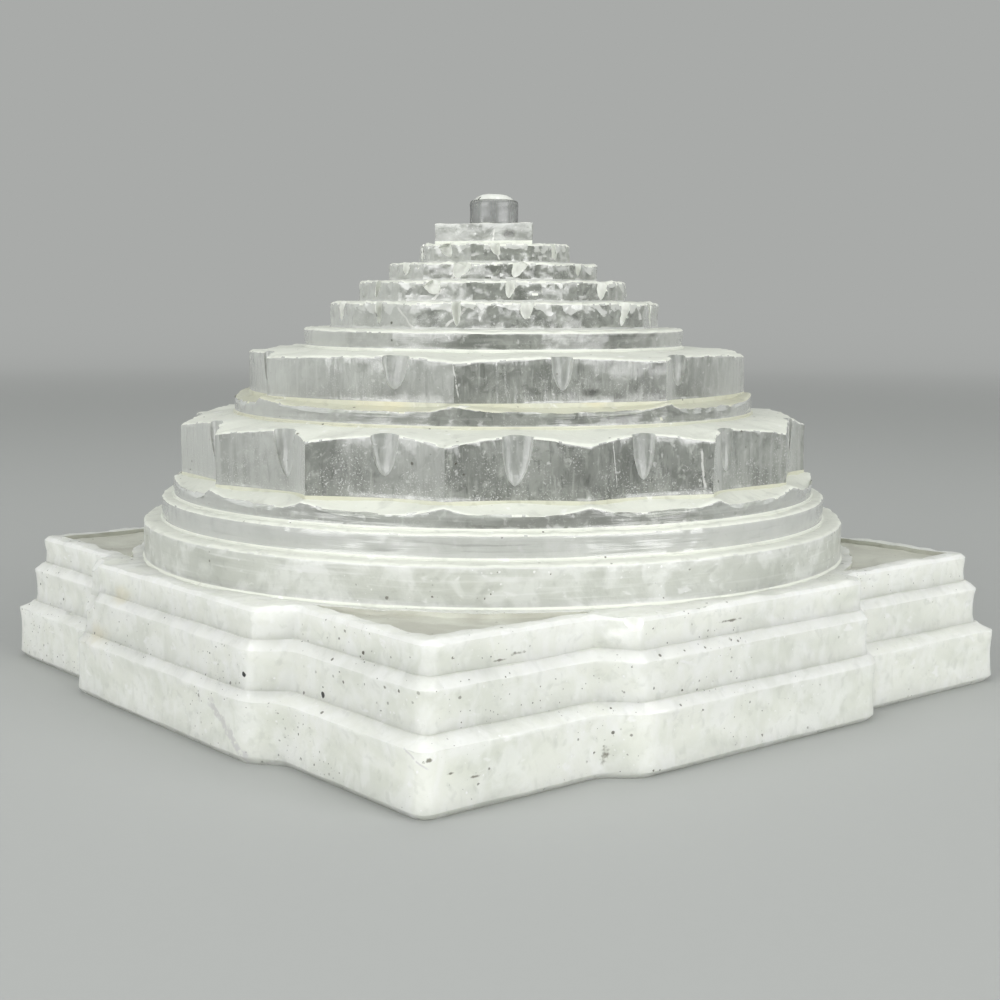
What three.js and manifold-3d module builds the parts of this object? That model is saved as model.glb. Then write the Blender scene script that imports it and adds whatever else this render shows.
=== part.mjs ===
// Meru shri yantra carved from one block of rock crystal, drawn tier by tier.
// Millimetres, +Z up, origin in the middle of the underside.
// The square plinth's sides lie along X and Y; every tier seats face to face on the one below.
import * as THREE from "three";
import { mergeVertices, toCreasedNormals } from "three/addons/utils/BufferGeometryUtils.js";
import Module from "manifold-3d";

// Square plinth in three steps
const baseSide = 76;
const lowerStepHeight = 6.4;
const middleStepHeight = 4.3;
const upperStepHeight = 2.8;
const middleStepSetBack = 1.4;
const upperStepSetBack = 0.85;
const undersideArris = 0.6;
const wallHollow = 0.15;
const ledgeFall = 0.85;
const ledgeSeat = 0.05;
const plinthCornerRound = 1.3;
const topEdgeWear = 0.35;

// Shallow gate standing out of each side: where its front starts and ends along the side,
// counter-clockwise from the -Y side, and how far it stands out and slopes back on each step
const gateFronts = [
  { start: -15.6, end: 13.5 },
  { start: -14.9, end: 14.9 },
  { start: -14.9, end: 14.9 },
  { start: -16.5, end: 14.9 },
];
const lowerGate = { projection: 2.4, jog: 4 };
const middleGate = { projection: 3.1, jog: 3.2 };
const upperGate = { projection: 3.2, jog: 2.4 };
const gateCornerRound = 1;

// Shallow hollows in the four corners of the plinth's top
const cornerHollowDepth = 0.45;
const cornerHollowBorder = 1.3;
const cornerHollowRingMargin = 1.3;
const cornerHollowRound = 1.5;

// Three plain rings, the lowest set back from the fronts of the gates
const lowerRingSetBack = 2.15;
const lowerRingHeight = 3.95;
const middleRingSetBack = 1.9;
const middleRingHeight = 2.4;
const upperRingSetBack = 1.2;
const upperRingHeight = 2.4;

// Small cove round the foot of every round tier, worn arris round its top, margin of its seat
const footCove = 0.3;
const footCoveHeight = 0.9;
const arrisFall = 0.6;
const arrisRun = 0.7;
const seatMargin = 0.25;

// Sixteen-petal lotus
const outerLotusHeight = 6;
const outerLotusTipSetBack = 0.8;
const outerLotusPetalFall = 1.6;
const outerLotusTreadFall = 0.3;
const outerLotusTipWear = 0.7;
const outerLotusFlare = 0.6;
const outerLotusFlareHeight = 1.2;

// Plain disc between the lotuses
const outerDiscSetBack = 5.6;
const outerDiscHeight = 2.2;

// Eight-petal lotus
const innerLotusHeight = 4.5;
const innerLotusTipSetBack = 0.8;
const innerLotusPetalFall = 1.1;
const innerLotusTreadFall = 0.3;
const innerLotusTipWear = 0.3;

// Plain disc under the stars
const innerDiscSetBack = 6.5;
const innerDiscHeight = 2;

// Scooped grooves between petals and between star points, open at the top, pointed below
const petalGroove = { depth: 1.3, share: 0.3, length: 0.87 };
const starGroove = { depth: 0.9, share: 0.42, length: 0.94 };
const grooveMiddleOpening = 0.55;
const petalPointedness = 0.6;
const starPointedness = 1.4;
const starPointFall = 0.45;

// Star tiers, each with its points, its height, its set-back from the tier below and its turn
const fourteenPoint = { points: 14, height: 2.65, setBack: 2.6, turn: -2.6 };
const outerTenPoint = { points: 10, height: 2.1, setBack: 3, turn: 6.3 };
const innerTenPoint = { points: 10, height: 1.85, setBack: 3.1, turn: 6.3 };
const eightPoint = { points: 8, height: 2, setBack: 3.2, turn: 8 };

// Innermost triangle and the bindu on it
const triangleRadius = 6.3;
const triangleHeight = 2.15;
const triangleCornerRound = 0.9;
const triangleEdgeFall = 0.3;
const triangleEdgeRun = 0.18;
const binduRadius = 2.57;
const binduHeight = 2.5;
const binduCrown = 0.7;
const binduTopRadius = 1.9;
const binduShoulderRound = 0.45;

// Fineness of round work
const ringSegments = 72;
const binduSegments = 36;
const hollowArcSteps = 12;
const cornerSteps = 2;
const petalShares = [0, 0.12, 0.35, 0.62, 0.78, 0.9, 1];
const starShares = [0, 0.5, 0.64, 0.82, 1];
const creaseAngle = THREE.MathUtils.degToRad(28);

const wasm = await Module();
wasm.setup();

// Heights of the seats, from the underside to the foot of the bindu
const middleStepFoot = lowerStepHeight;
const upperStepFoot = middleStepFoot + middleStepHeight;
const plinthTop = upperStepFoot + upperStepHeight;
const middleRingFoot = plinthTop + lowerRingHeight;
const upperRingFoot = middleRingFoot + middleRingHeight;
const outerLotusFoot = upperRingFoot + upperRingHeight;
const outerDiscFoot = outerLotusFoot + outerLotusHeight;
const innerLotusFoot = outerDiscFoot + outerDiscHeight;
const innerDiscFoot = innerLotusFoot + innerLotusHeight;
const fourteenPointFoot = innerDiscFoot + innerDiscHeight;
const outerTenPointFoot = fourteenPointFoot + fourteenPoint.height;
const innerTenPointFoot = outerTenPointFoot + outerTenPoint.height;
const eightPointFoot = innerTenPointFoot + innerTenPoint.height;
const triangleFoot = eightPointFoot + eightPoint.height;
const binduFoot = triangleFoot + triangleHeight;

// Half sides of the steps, each set back from the one below
const lowerHalf = baseSide / 2;
const middleHalf = lowerHalf - middleStepSetBack;
const upperHalf = middleHalf - upperStepSetBack;

// Outer radii, each set back from the tier that carries it
const lowerRingRadius = upperHalf + upperGate.projection - lowerRingSetBack;
const middleRingRadius = lowerRingRadius - middleRingSetBack;
const upperRingRadius = middleRingRadius - upperRingSetBack;
const outerLotusTip = upperRingRadius - outerLotusTipSetBack;
const outerDiscRadius = outerLotusTip - outerDiscSetBack;
const innerLotusTip = outerDiscRadius - innerLotusTipSetBack;
const innerDiscRadius = innerLotusTip - innerDiscSetBack;
const fourteenPointTip = innerDiscRadius - fourteenPoint.setBack;
const outerTenPointTip = fourteenPointTip - outerTenPoint.setBack;
const innerTenPointTip = outerTenPointTip - innerTenPoint.setBack;
const eightPointTip = innerTenPointTip - eightPoint.setBack;

// Plan outline lifted to one height
function atHeight(outline, z) {
  return outline.map((p) => new THREE.Vector3(p.x, p.y, z));
}

// Closed solid through a stack of outlines that hold the same number of points
function loft(sections) {
  const count = sections[0].length;
  const positions = sections.flatMap((outline) => outline.flatMap((p) => p.toArray()));
  const indices = [];
  for (let level = 0; level < sections.length - 1; level++) {
    const below = level * count;
    const above = below + count;
    for (let i = 0; i < count; i++) {
      const next = (i + 1) % count;
      indices.push(below + i, below + next, above + next);
      indices.push(below + i, above + next, above + i);
    }
  }
  const roof = (sections.length - 1) * count;
  for (const [a, b, c] of THREE.ShapeUtils.triangulateShape(sections[0], []))
    indices.push(a, c, b);
  for (const [a, b, c] of THREE.ShapeUtils.triangulateShape(sections.at(-1), []))
    indices.push(roof + a, roof + b, roof + c);
  const geometry = new THREE.BufferGeometry();
  geometry.setAttribute("position", new THREE.Float32BufferAttribute(positions, 3));
  geometry.setIndex(indices);
  geometry.computeVertexNormals();
  return geometry;
}

// Outline through corners, each eased by a curve that keeps to its own reach
function easedOutline(corners) {
  const path = new THREE.Path();
  corners.forEach(({ at, round }, i) => {
    const before = corners.at(i - 1).at;
    const after = corners[(i + 1) % corners.length].at;
    const arrive = at.clone().lerp(before, Math.min(round / at.distanceTo(before), 0.45));
    const leave = at.clone().lerp(after, Math.min(round / at.distanceTo(after), 0.45));
    if (i === 0) path.moveTo(arrive.x, arrive.y);
    else path.lineTo(arrive.x, arrive.y);
    path.quadraticCurveTo(at.x, at.y, leave.x, leave.y);
  });
  return path.getPoints(cornerSteps);
}

// Square with a gate standing out of each side, counter-clockwise from the -X -Y corner
function plinthOutline(half, gate) {
  const origin = new THREE.Vector2();
  const corners = gateFronts.flatMap(({ start, end }, side) =>
    [
      { at: new THREE.Vector2(-half, -half), round: plinthCornerRound },
      { at: new THREE.Vector2(start - gate.jog, -half), round: gateCornerRound },
      { at: new THREE.Vector2(start, -half - gate.projection), round: gateCornerRound },
      { at: new THREE.Vector2(end, -half - gate.projection), round: gateCornerRound },
      { at: new THREE.Vector2(end + gate.jog, -half), round: gateCornerRound },
    ].map(({ at, round }) => ({
      at: at.rotateAround(origin, (side * Math.PI) / 2),
      round,
    })),
  );
  return easedOutline(corners);
}

// One plinth step: eased underside, slightly hollow wall, then a slope of its own fall up to its roof
function plinthStep({ foot, height, half, gate, arris, fall, roof }) {
  const edge = foot + height - fall;
  const wallFoot = foot + arris;
  const wall = (inset, z) => atHeight(plinthOutline(half - inset, gate), z);
  const sections = [
    wall(0, wallFoot),
    wall(wallHollow, (wallFoot + edge) / 2),
    wall(0, edge),
    atHeight(roof, foot + height),
  ];
  if (arris > 0) sections.unshift(wall(arris, foot));
  return loft(sections);
}

// Hollow for one corner of the plinth's top: two straight sides and an arc round the lowest ring
function cornerHollow(half) {
  const side = half - topEdgeWear - cornerHollowBorder;
  const radius = lowerRingRadius + cornerHollowRingMargin;
  const reach = Math.sqrt(radius ** 2 - side ** 2);
  const shape = new THREE.Shape();
  shape.moveTo(-reach, -side);
  shape.absarc(0, 0, radius, Math.atan2(-side, -reach), Math.atan2(-reach, -side), true);
  shape.lineTo(-side, -side + cornerHollowRound);
  shape.quadraticCurveTo(-side, -side, -side + cornerHollowRound, -side);
  return new THREE.ExtrudeGeometry(shape, {
    depth: 2 * cornerHollowDepth,
    bevelEnabled: false,
    curveSegments: hollowArcSteps,
  }).translate(0, 0, plinthTop - cornerHollowDepth);
}

// Solid for a cut, from a closed geometry
function solidOf(geometry) {
  const bare = geometry.index ? geometry.toNonIndexed() : geometry.clone();
  bare.deleteAttribute("normal");
  bare.deleteAttribute("uv");
  const merged = mergeVertices(bare, 1e-4);
  return new wasm.Manifold(
    new wasm.Mesh({
      numProp: 3,
      vertProperties: merged.attributes.position.array,
      triVerts: new Uint32Array(merged.index.array),
    }),
  );
}

// Geometry of a solid after its cuts
function geometryOf(solid) {
  const mesh = solid.getMesh();
  const geometry = new THREE.BufferGeometry();
  geometry.setAttribute("position", new THREE.BufferAttribute(mesh.vertProperties, 3));
  geometry.setIndex(new THREE.BufferAttribute(mesh.triVerts, 1));
  geometry.computeVertexNormals();
  return geometry;
}

// Upper plinth step with the four corner hollows ground into its top
function upperPlinthStep() {
  let solid = solidOf(
    plinthStep({
      foot: upperStepFoot,
      height: upperStepHeight,
      half: upperHalf,
      gate: upperGate,
      arris: 0,
      fall: topEdgeWear,
      roof: plinthOutline(upperHalf - topEdgeWear, upperGate),
    }),
  );
  for (let corner = 0; corner < 4; corner++) {
    const cutter = cornerHollow(upperHalf).rotateZ((corner * Math.PI) / 2);
    solid = solid.subtract(solidOf(cutter));
  }
  return geometryOf(solid);
}

// Plain round tier: small cove at the foot, upright wall, worn arris, flat top
function ring(foot, height, radius) {
  const top = foot + height;
  const profile = [
    new THREE.Vector2(0, foot),
    new THREE.Vector2(radius, foot),
    new THREE.Vector2(radius - footCove, foot + footCove),
    new THREE.Vector2(radius, foot + footCoveHeight),
    new THREE.Vector2(radius, top - arrisFall),
    new THREE.Vector2(radius - arrisRun, top),
    new THREE.Vector2(0, top),
  ];
  return new THREE.LatheGeometry(profile, ringSegments).rotateX(Math.PI / 2);
}

// Outline of a petalled tier at one height, its grooves opened by a share and its tips worn down
function petalOutline(tier, { z, inset, opening, tipWear }) {
  const { count, tip, fall, pointedness, turn, shares, groove } = tier;
  const half = Math.PI / count;
  const right = shares.slice(0, -1);
  const left = shares.slice(1).reverse();
  const outline = [];
  for (let petal = 0; petal < count; petal++) {
    const middle = turn + (2 * petal + 1) * half;
    const place = (share, side) => {
      const reach = groove.share * opening;
      const across = reach > 0 ? (1 - share) / reach : 1;
      const cut = across < 1 ? groove.depth * opening * (1 - across ** 2) : 0;
      const radius = tip - fall * share ** pointedness - cut - inset;
      const angle = middle + side * share * half;
      const worn = (tipWear * (1 + Math.cos(Math.PI * share))) / 2;
      outline.push(new THREE.Vector3(radius * Math.cos(angle), radius * Math.sin(angle), z - worn));
    };
    left.forEach((share) => place(share, -1));
    right.forEach((share) => place(share, 1));
  }
  return outline;
}

// Petalled or starred tier: flared foot, fluted wall, worn arris, tread rising to the next tier's seat
function petalTier(tier) {
  const { foot, height, groove, flare, flareHeight, treadFall, tipWear, seatRadius, tip } = tier;
  const top = foot + height;
  const brow = top - treadFall;
  const edge = brow - arrisFall;
  const wallFoot = foot + flareHeight;
  const runOut = edge - (edge - wallFoot) * groove.length;
  const at = (z, inset, opening, wear) => petalOutline(tier, { z, inset, opening, tipWear: wear });
  const innermost = tip - tier.fall - groove.depth - arrisRun;
  const seat = Math.min(seatRadius + seatMargin, innermost - seatMargin);
  const seatOutline = at(top, 0, 1, 0).map((p) => {
    const angle = Math.atan2(p.y, p.x);
    return new THREE.Vector3(seat * Math.cos(angle), seat * Math.sin(angle), top);
  });
  return loft([
    at(foot, -flare, 0, 0),
    at(wallFoot, 0, 0, 0),
    at(runOut, 0, 0, 0),
    at((runOut + edge) / 2, 0, grooveMiddleOpening, 0),
    at(edge, 0, 1, tipWear),
    at(brow, arrisRun, 1, tipWear),
    seatOutline,
  ]);
}

// Lotus tier with a petal's tip on every axis of the plinth
function lotus({ count, foot, height, tip, fall, treadFall, tipWear, flare, flareHeight, seatRadius }) {
  return petalTier({
    count,
    foot,
    height,
    tip,
    fall,
    treadFall,
    tipWear,
    flare,
    flareHeight,
    seatRadius,
    pointedness: petalPointedness,
    turn: -Math.PI / count,
    shares: petalShares,
    groove: petalGroove,
  });
}

// Star tier: flat-faced points with a scooped groove between each two
function star({ points, height, turn }, foot, tip, seatRadius) {
  return petalTier({
    count: Math.round(points),
    foot,
    height,
    tip,
    fall: starPointFall,
    treadFall: 0,
    tipWear: 0,
    flare: footCove / 2,
    flareHeight: footCove,
    seatRadius,
    pointedness: starPointedness,
    turn: THREE.MathUtils.degToRad(turn - 90),
    shares: starShares,
    groove: starGroove,
  });
}

// Innermost triangle, one corner towards -Y, its corners eased
function triangle() {
  const top = triangleFoot + triangleHeight;
  const outline = (inset) =>
    easedOutline(
      [-90, 30, 150].map((degrees) => {
        const angle = THREE.MathUtils.degToRad(degrees);
        const reach = triangleRadius - 2 * inset;
        return {
          at: new THREE.Vector2(reach * Math.cos(angle), reach * Math.sin(angle)),
          round: triangleCornerRound,
        };
      }),
    );
  return loft([
    atHeight(outline(0), triangleFoot),
    atHeight(outline(0), top - triangleEdgeFall),
    atHeight(outline(triangleEdgeRun), top),
  ]);
}

// Bindu: short round stud with a low crown
function bindu() {
  const shoulder = binduFoot + binduHeight;
  const profile = [
    new THREE.Vector2(0, binduFoot),
    new THREE.Vector2(binduRadius, binduFoot),
    new THREE.Vector2(binduRadius, shoulder - binduShoulderRound),
    new THREE.Vector2(binduRadius - binduShoulderRound / 3, shoulder - binduShoulderRound / 3),
    new THREE.Vector2(binduRadius - binduShoulderRound, shoulder),
    new THREE.Vector2(binduTopRadius, shoulder + binduCrown / 4),
    new THREE.Vector2(binduTopRadius / 2, shoulder + binduCrown * 0.8),
    new THREE.Vector2(0, shoulder + binduCrown),
  ];
  return new THREE.LatheGeometry(profile, binduSegments).rotateX(Math.PI / 2);
}

// Milky crystal for the plinth and rings, clearer grey crystal above
const milky = { color: 0xe4e7df, roughness: 0.5, metalness: 0 };
const cloudy = { color: 0xd3d6cf, roughness: 0.4, metalness: 0 };
const clear = { color: 0xb9bdb8, roughness: 0.25, metalness: 0 };

const yantra = new THREE.Group();
yantra.name = "shri_yantra";

// Tier with the arrises that the carving leaves kept crisp
function addTier(name, geometry, finish) {
  const crisp = toCreasedNormals(geometry, creaseAngle);
  const mesh = new THREE.Mesh(crisp, new THREE.MeshStandardMaterial(finish));
  mesh.name = name;
  yantra.add(mesh);
}

addTier(
  "plinth_lower_step",
  plinthStep({
    foot: 0,
    height: lowerStepHeight,
    half: lowerHalf,
    gate: lowerGate,
    arris: undersideArris,
    fall: ledgeFall,
    roof: plinthOutline(middleHalf + ledgeSeat, middleGate),
  }),
  milky,
);
addTier(
  "plinth_middle_step",
  plinthStep({
    foot: middleStepFoot,
    height: middleStepHeight,
    half: middleHalf,
    gate: middleGate,
    arris: 0,
    fall: ledgeFall,
    roof: plinthOutline(upperHalf + ledgeSeat, upperGate),
  }),
  milky,
);
addTier("plinth_upper_step", upperPlinthStep(), milky);
addTier("lower_ring", ring(plinthTop, lowerRingHeight, lowerRingRadius), milky);
addTier("middle_ring", ring(middleRingFoot, middleRingHeight, middleRingRadius), cloudy);
addTier("upper_ring", ring(upperRingFoot, upperRingHeight, upperRingRadius), cloudy);
addTier(
  "sixteen_petal_lotus",
  lotus({
    count: 16,
    foot: outerLotusFoot,
    height: outerLotusHeight,
    tip: outerLotusTip,
    fall: outerLotusPetalFall,
    treadFall: outerLotusTreadFall,
    tipWear: outerLotusTipWear,
    flare: outerLotusFlare,
    flareHeight: outerLotusFlareHeight,
    seatRadius: outerDiscRadius,
  }),
  clear,
);
addTier("outer_disc", ring(outerDiscFoot, outerDiscHeight, outerDiscRadius), clear);
addTier(
  "eight_petal_lotus",
  lotus({
    count: 8,
    foot: innerLotusFoot,
    height: innerLotusHeight,
    tip: innerLotusTip,
    fall: innerLotusPetalFall,
    treadFall: innerLotusTreadFall,
    tipWear: innerLotusTipWear,
    flare: footCove,
    flareHeight: footCove,
    seatRadius: innerDiscRadius,
  }),
  clear,
);
addTier("inner_disc", ring(innerDiscFoot, innerDiscHeight, innerDiscRadius), clear);
addTier(
  "fourteen_point_tier",
  star(fourteenPoint, fourteenPointFoot, fourteenPointTip, outerTenPointTip),
  clear,
);
addTier(
  "outer_ten_point_tier",
  star(outerTenPoint, outerTenPointFoot, outerTenPointTip, innerTenPointTip),
  clear,
);
addTier(
  "inner_ten_point_tier",
  star(innerTenPoint, innerTenPointFoot, innerTenPointTip, eightPointTip),
  clear,
);
addTier(
  "eight_point_tier",
  star(eightPoint, eightPointFoot, eightPointTip, triangleRadius),
  clear,
);
addTier("triangle_tier", triangle(), clear);
addTier("bindu", bindu(), clear);

export default yantra;
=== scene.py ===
"""A hand-carved rock-crystal shri yantra: plinth, rings, lotuses, stars, triangle and bindu."""

import math
import random

import bmesh
import bpy
from bpy.props import FloatProperty, FloatVectorProperty, PointerProperty
from mathutils import Matrix, Vector


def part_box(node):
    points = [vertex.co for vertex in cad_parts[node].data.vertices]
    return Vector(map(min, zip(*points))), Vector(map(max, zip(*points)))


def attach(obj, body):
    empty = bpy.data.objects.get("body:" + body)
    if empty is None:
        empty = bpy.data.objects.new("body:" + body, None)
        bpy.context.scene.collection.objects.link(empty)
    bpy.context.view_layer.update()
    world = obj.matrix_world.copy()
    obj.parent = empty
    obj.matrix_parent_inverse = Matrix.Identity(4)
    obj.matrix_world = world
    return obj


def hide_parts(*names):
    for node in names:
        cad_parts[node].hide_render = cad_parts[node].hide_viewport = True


bl_info = {
    "name": "Crystal Shri Yantra",
    "version": (1, 0, 0),
    "blender": (4, 5, 0),
    "location": "View3D > Sidebar > Yantra",
    "description": "Carves a meru shri yantra from rock crystal, tier by tier",
    "category": "Add Mesh",
}

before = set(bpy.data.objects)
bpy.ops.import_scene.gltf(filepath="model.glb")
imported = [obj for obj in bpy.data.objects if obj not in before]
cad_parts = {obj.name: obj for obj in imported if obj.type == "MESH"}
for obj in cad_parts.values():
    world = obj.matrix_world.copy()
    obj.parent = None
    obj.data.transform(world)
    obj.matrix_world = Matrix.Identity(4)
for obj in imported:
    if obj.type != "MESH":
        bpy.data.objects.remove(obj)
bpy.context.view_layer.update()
MM = 0.001
SINK = 0.6 * MM  # how deep a tier's foot stands in the tier below
WELD = 1e-6  # places closer than this are one place
QUARTZ_IOR = 1.545

# Where the carver set the petals' tips and grooves on the camera's side, in degrees
OUTER_TIPS = (-160.1, -136.6, -114.3, -91.2, -69.0)
OUTER_GROOVES = (-166.4, -147.1, -125.7, -103.5, -84.9, -53.4)
INNER_TIPS = (-186.0, -136.9, -91.3, -49.5)
INNER_GROOVES = (-191.0, -150.3, -114.6, -85.0)

# Larger marks in the crystal: place and reach in millimetres, on the faces where they show
BLACK_MARKS = (
    ((-39.4, -14.6, 7.7), (0.6, 0.30, 0.24)),
    ((-36.6, -22.3, 6.9), (0.6, 0.28, 0.28)),
)
BROWN_MARKS = (
    ((-36.6, -31.4, 9.3), (0.5, 0.24, 0.14)),
    ((-4.5, -38.9, 11.9), (1.6, 0.5, 0.13)),
    ((-26.2, -35.7, 11.4), (0.8, 0.5, 0.17)),
    ((-28.3, -35.7, 11.1), (0.7, 0.5, 0.10)),
    ((-37.0, -37.8, 4.9), (0.26, 0.3, 0.18)),
    ((-35.0, -37.9, 3.5), (0.42, 0.5, 0.12)),
    ((-32.6, -37.9, 2.8), (0.6, 0.5, 0.13)),
    ((-19.0, -38.3, 2.1), (0.4, 0.5, 0.7)),
)
YELLOW_MARKS = (
    ((-39.7, 13.7, 6.5), (2.0, 3.0, 1.6)),
    ((-38.9, 9.6, 11.0), (2.0, 2.6, 1.2)),
)
CREAM_MARKS = (
    ((-23.4, -13.0, 30.4), (3.0, 5.0, 1.0)),
    ((-8.3, -24.6, 30.4), (2.2, 1.6, 0.5)),
)
# A white oval on the eight-petal lotus's left edge: a painted highlight
PAINTED_HIGHLIGHTS = (((-25.4, 4.4, 33.5), (1.2, 1.5, 0.95)),)
SMUDGES = (
    ((-8.2, -24.4, 31.4), (1.0, 0.9, 0.5)),
    ((-1.2, -4.1, 46.6), (1.0, 0.8, 0.55)),
)

# Where cracks inside the crystal meet its surface: two ends in millimetres, the way that the
# surface faces in degrees, the line's width in millimetres and how bright it is
CRACKS = (
    ((-40.3, -9.7, 4.6), (-39.5, -15.9, 0.3), 180, 0.75, 0.66),
    ((-38.0, -35.7, 5.6), (-37.1, -37.8, 4.2), 225, 0.16, 0.70),
    ((-39.6, 14.7, 8.6), (-38.9, 14.5, 11.5), 180, 0.22, 0.95),
)
PETAL_CRACKS = (
    ((-10.6, -29.6, 27.4), (-10.3, -30.4, 23.4), -109, 0.10, 0.97),
    ((-1.8, -32.1, 26.4), (-1.4, -32.6, 22.8), -93, 0.22, 0.90),
    ((-18.9, -17.5, 34.2), (-19.0, -18.3, 31.0), -137, 0.12, 0.95),
    ((-0.2, -25.9, 34.3), (-0.3, -26.4, 30.9), -91, 0.22, 0.95),
)
TOP_CRACKS = (
    ((-2.1, -2.6, 47.1), (-2.2, -2.5, 45.8), -129, 0.18, 0.97),
    ((-16.6, -5.2, 39.2), (-15.9, -7.2, 37.1), -159, 0.22, 0.95),
    ((-12.4, -11.2, 39.0), (-13.8, -9.6, 37.2), -142, 0.24, 0.95),
    ((-11.7, -7.3, 41.4), (-12.7, -5.9, 39.7), -152, 0.26, 0.95),
    ((-9.1, -6.2, 43.3), (-9.8, -5.2, 41.8), -150, 0.24, 0.95),
    ((-4.5, -5.5, 45.3), (-4.1, -6.0, 43.7), -127, 0.16, 0.97),
)

# Flakes lost from the plinth's edges: step, place, reach in millimetres, and how flat it was
CHIPS = (
    (2, (-16.2, -38.5, 13.6), 1.3, 0.45),
    (2, (-40.45, 16.76, 15.82), 3.7, 1.0),
    (1, (-41.28, 16.72, 11.3), 3.3, 1.0),
    (0, (-38.1, -38.1, 6.1), 1.0, 0.45),
    (2, (-37.9, -22.0, 13.4), 0.7, 0.45),
    (0, (-23.0, -38.2, 6.2), 0.8, 0.45),
)

# How far each scoop may vary by hand: width, depth, reach down the wall, lean in degrees
LOTUS_SPREAD = ((0.85, 1.12), (0.85, 1.1), (0.68, 0.84), (-5, 5))
STAR_SPREAD = ((0.5, 1.1), (0.8, 1.2), (0.6, 1.0), (-35, 35))

STEPS = ("plinth_lower_step", "plinth_middle_step", "plinth_upper_step")
PLAIN_TIERS = (
    # node, tier that it carries, record slot, petals above it
    ("lower_ring", "middle_ring", "milky_crystal", None),
    ("middle_ring", "upper_ring", "cloudy_crystal", None),
    ("upper_ring", "sixteen_petal_lotus", "cloudy_crystal", (OUTER_TIPS, OUTER_GROOVES, 16)),
    ("outer_disc", "eight_petal_lotus", "clear_crystal", (INNER_TIPS, INNER_GROOVES, 8)),
    ("inner_disc", "fourteen_point_tier", "clear_crystal", None),
)
LOTUSES = (
    # node, tier that it carries, petals, tips and grooves that are seen
    ("sixteen_petal_lotus", "outer_disc", 16, OUTER_TIPS, OUTER_GROOVES),
    ("eight_petal_lotus", "inner_disc", 8, INNER_TIPS, INNER_GROOVES),
)
STAR_TIERS = (
    # node, points, notches that are seen
    ("fourteen_point_tier", 14, (-171.1, -141.2, -118.8, -80.6)),
    ("outer_ten_point_tier", 10, (-152.6, -123.2, -78.9)),
    ("inner_ten_point_tier", 10, (-149.7, -118.2, -76.8)),
    ("eight_point_tier", 8, (-164.1, -125.8, -73.0)),
)

# The camera's place in metres, its heading, pitch and roll in degrees, and its lens in millimetres
CAMERA_PLACE = (-0.108594, -0.133153, 0.039815)
CAMERA_TURNS = (50.544, 7.108, 0.25)
LENS = 57.77
LAMPS = (
    # name, place, size, power
    ("overhead softbox", (0.05, 0.10, 0.60), 0.45, 0.5),
    ("left softbox", (-0.62, -0.06, 0.26), 0.5, 3.5),
    ("right softbox", (0.10, -0.64, 0.24), 0.5, 3.8),
)

WHITE = (0.96, 0.97, 0.94)
# Tint of painted light on the polished walls: sheen at grazing angles and light from the left
PAINTED_LIGHT_TINT = (0.9, 0.92, 0.88)
PLAIN = (1, 1, 1)
GROUPS, FINISHES = {}, {}


def tier_span(node):
    """Foot height, top height and reach along X of a CAD tier."""
    low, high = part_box(node)
    return low[2], high[2], high[0]


# ---------------------------------------------------------------- sizes and colours


def length(name, description, default):
    return FloatProperty(name=name, description=description, default=default, unit="LENGTH")


def lengths(name, description, *default):
    return FloatVectorProperty(
        name=name, description=description, size=len(default), default=default, unit="LENGTH"
    )


def shade(name, description, *default):
    return FloatVectorProperty(
        name=name, description=description, subtype="COLOR", min=0.0, max=1.0, default=default
    )


class PlinthSizes(bpy.types.PropertyGroup):
    gate_starts: lengths(
        "Gate starts",
        "Where each gate's front starts along its side, counter-clockwise from the -Y side",
        *(-0.0156, -0.0149, -0.0149, -0.0165),
    )
    gate_ends: lengths(
        "Gate ends", "Where each gate's front ends along its side", 0.0135, 0.0149, 0.0149, 0.0149
    )
    gate_jogs: lengths(
        "Gate jogs", "Length of the slope beside a gate on each step", 0.004, 0.0032, 0.0024
    )
    gate_fronts: lengths(
        "Gate projections", "How far a gate stands out on each step", 0.0024, 0.0031, 0.0032
    )
    ledge_fall: length("Ledge fall", "Height of the sloping ledge over a step", 0.00085)
    top_wear: length("Top edge wear", "Width of the worn edge round the plinth's top", 0.00035)
    wall_hollow: length("Wall hollow", "How hollow a step's wall is", 0.00015)
    foot_arris: length("Foot arris", "Easing round the underside", 0.0006)
    corner_round: length("Corner round", "Easing of the plinth's upright corners", 0.0011)
    hollow_depth: length("Hollow depth", "Depth of the hollow in each corner of the top", 0.00045)
    hollow_border: length("Hollow border", "Border left round a corner hollow", 0.0013)
    ledge_wear: length("Ledge wear", "Unevenness worked into a step's ledge", 0.00055)
    column_gap: length("Column gap", "Spacing of the cuts that let the walls undulate", 0.002)


class RoundSizes(bpy.types.PropertyGroup):
    fillet: length("Foot fillet", "Reach of the small fillet at the foot of a round tier", 0.0002)
    arris: length("Arris", "Width of the worn arris round a tier's top", 0.00032)
    rim_falls: lengths(
        "Rim falls",
        "How far the tread falls to its rim: lower, middle and upper ring, outer and inner disc",
        *(0.0001, 0.0001, 0.0003, 0.00005, 0.0001),
    )
    tread_sag: length("Tread sag", "Extra fall of a tread midway between two petal tips", 0.0009)
    rim_wear: length("Rim wear", "Unevenness worked into a rim", 0.00036)
    segment: length("Segment", "Length of one side of a round tier", 0.0003)


class LotusSizes(bpy.types.PropertyGroup):
    falls: lengths("Petal falls", "How far each lotus draws in between two tips", 0.0016, 0.0011)
    wears: lengths("Tip wears", "How far each lotus's tips are worn down", 0.0008, 0.0004)
    insets: lengths(
        "Tip insets", "How far each lotus's tips stand in from its foot", 0.0006, 0.0003
    )
    flares: lengths("Foot flares", "How far each lotus's foot spreads", 0.00005, 0.00005)
    flare_heights: lengths("Flare heights", "Height of each lotus's foot flare", 0.0004, 0.0003)
    tread_fall: length("Tread fall", "How far a petal's tread falls outwards", 0.0003)
    groove_depth: length("Groove depth", "Depth of the scoop between two petals", 0.0007)
    groove_width: length("Groove width", "Width of the scoop at its mouth", 0.0027)


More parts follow.
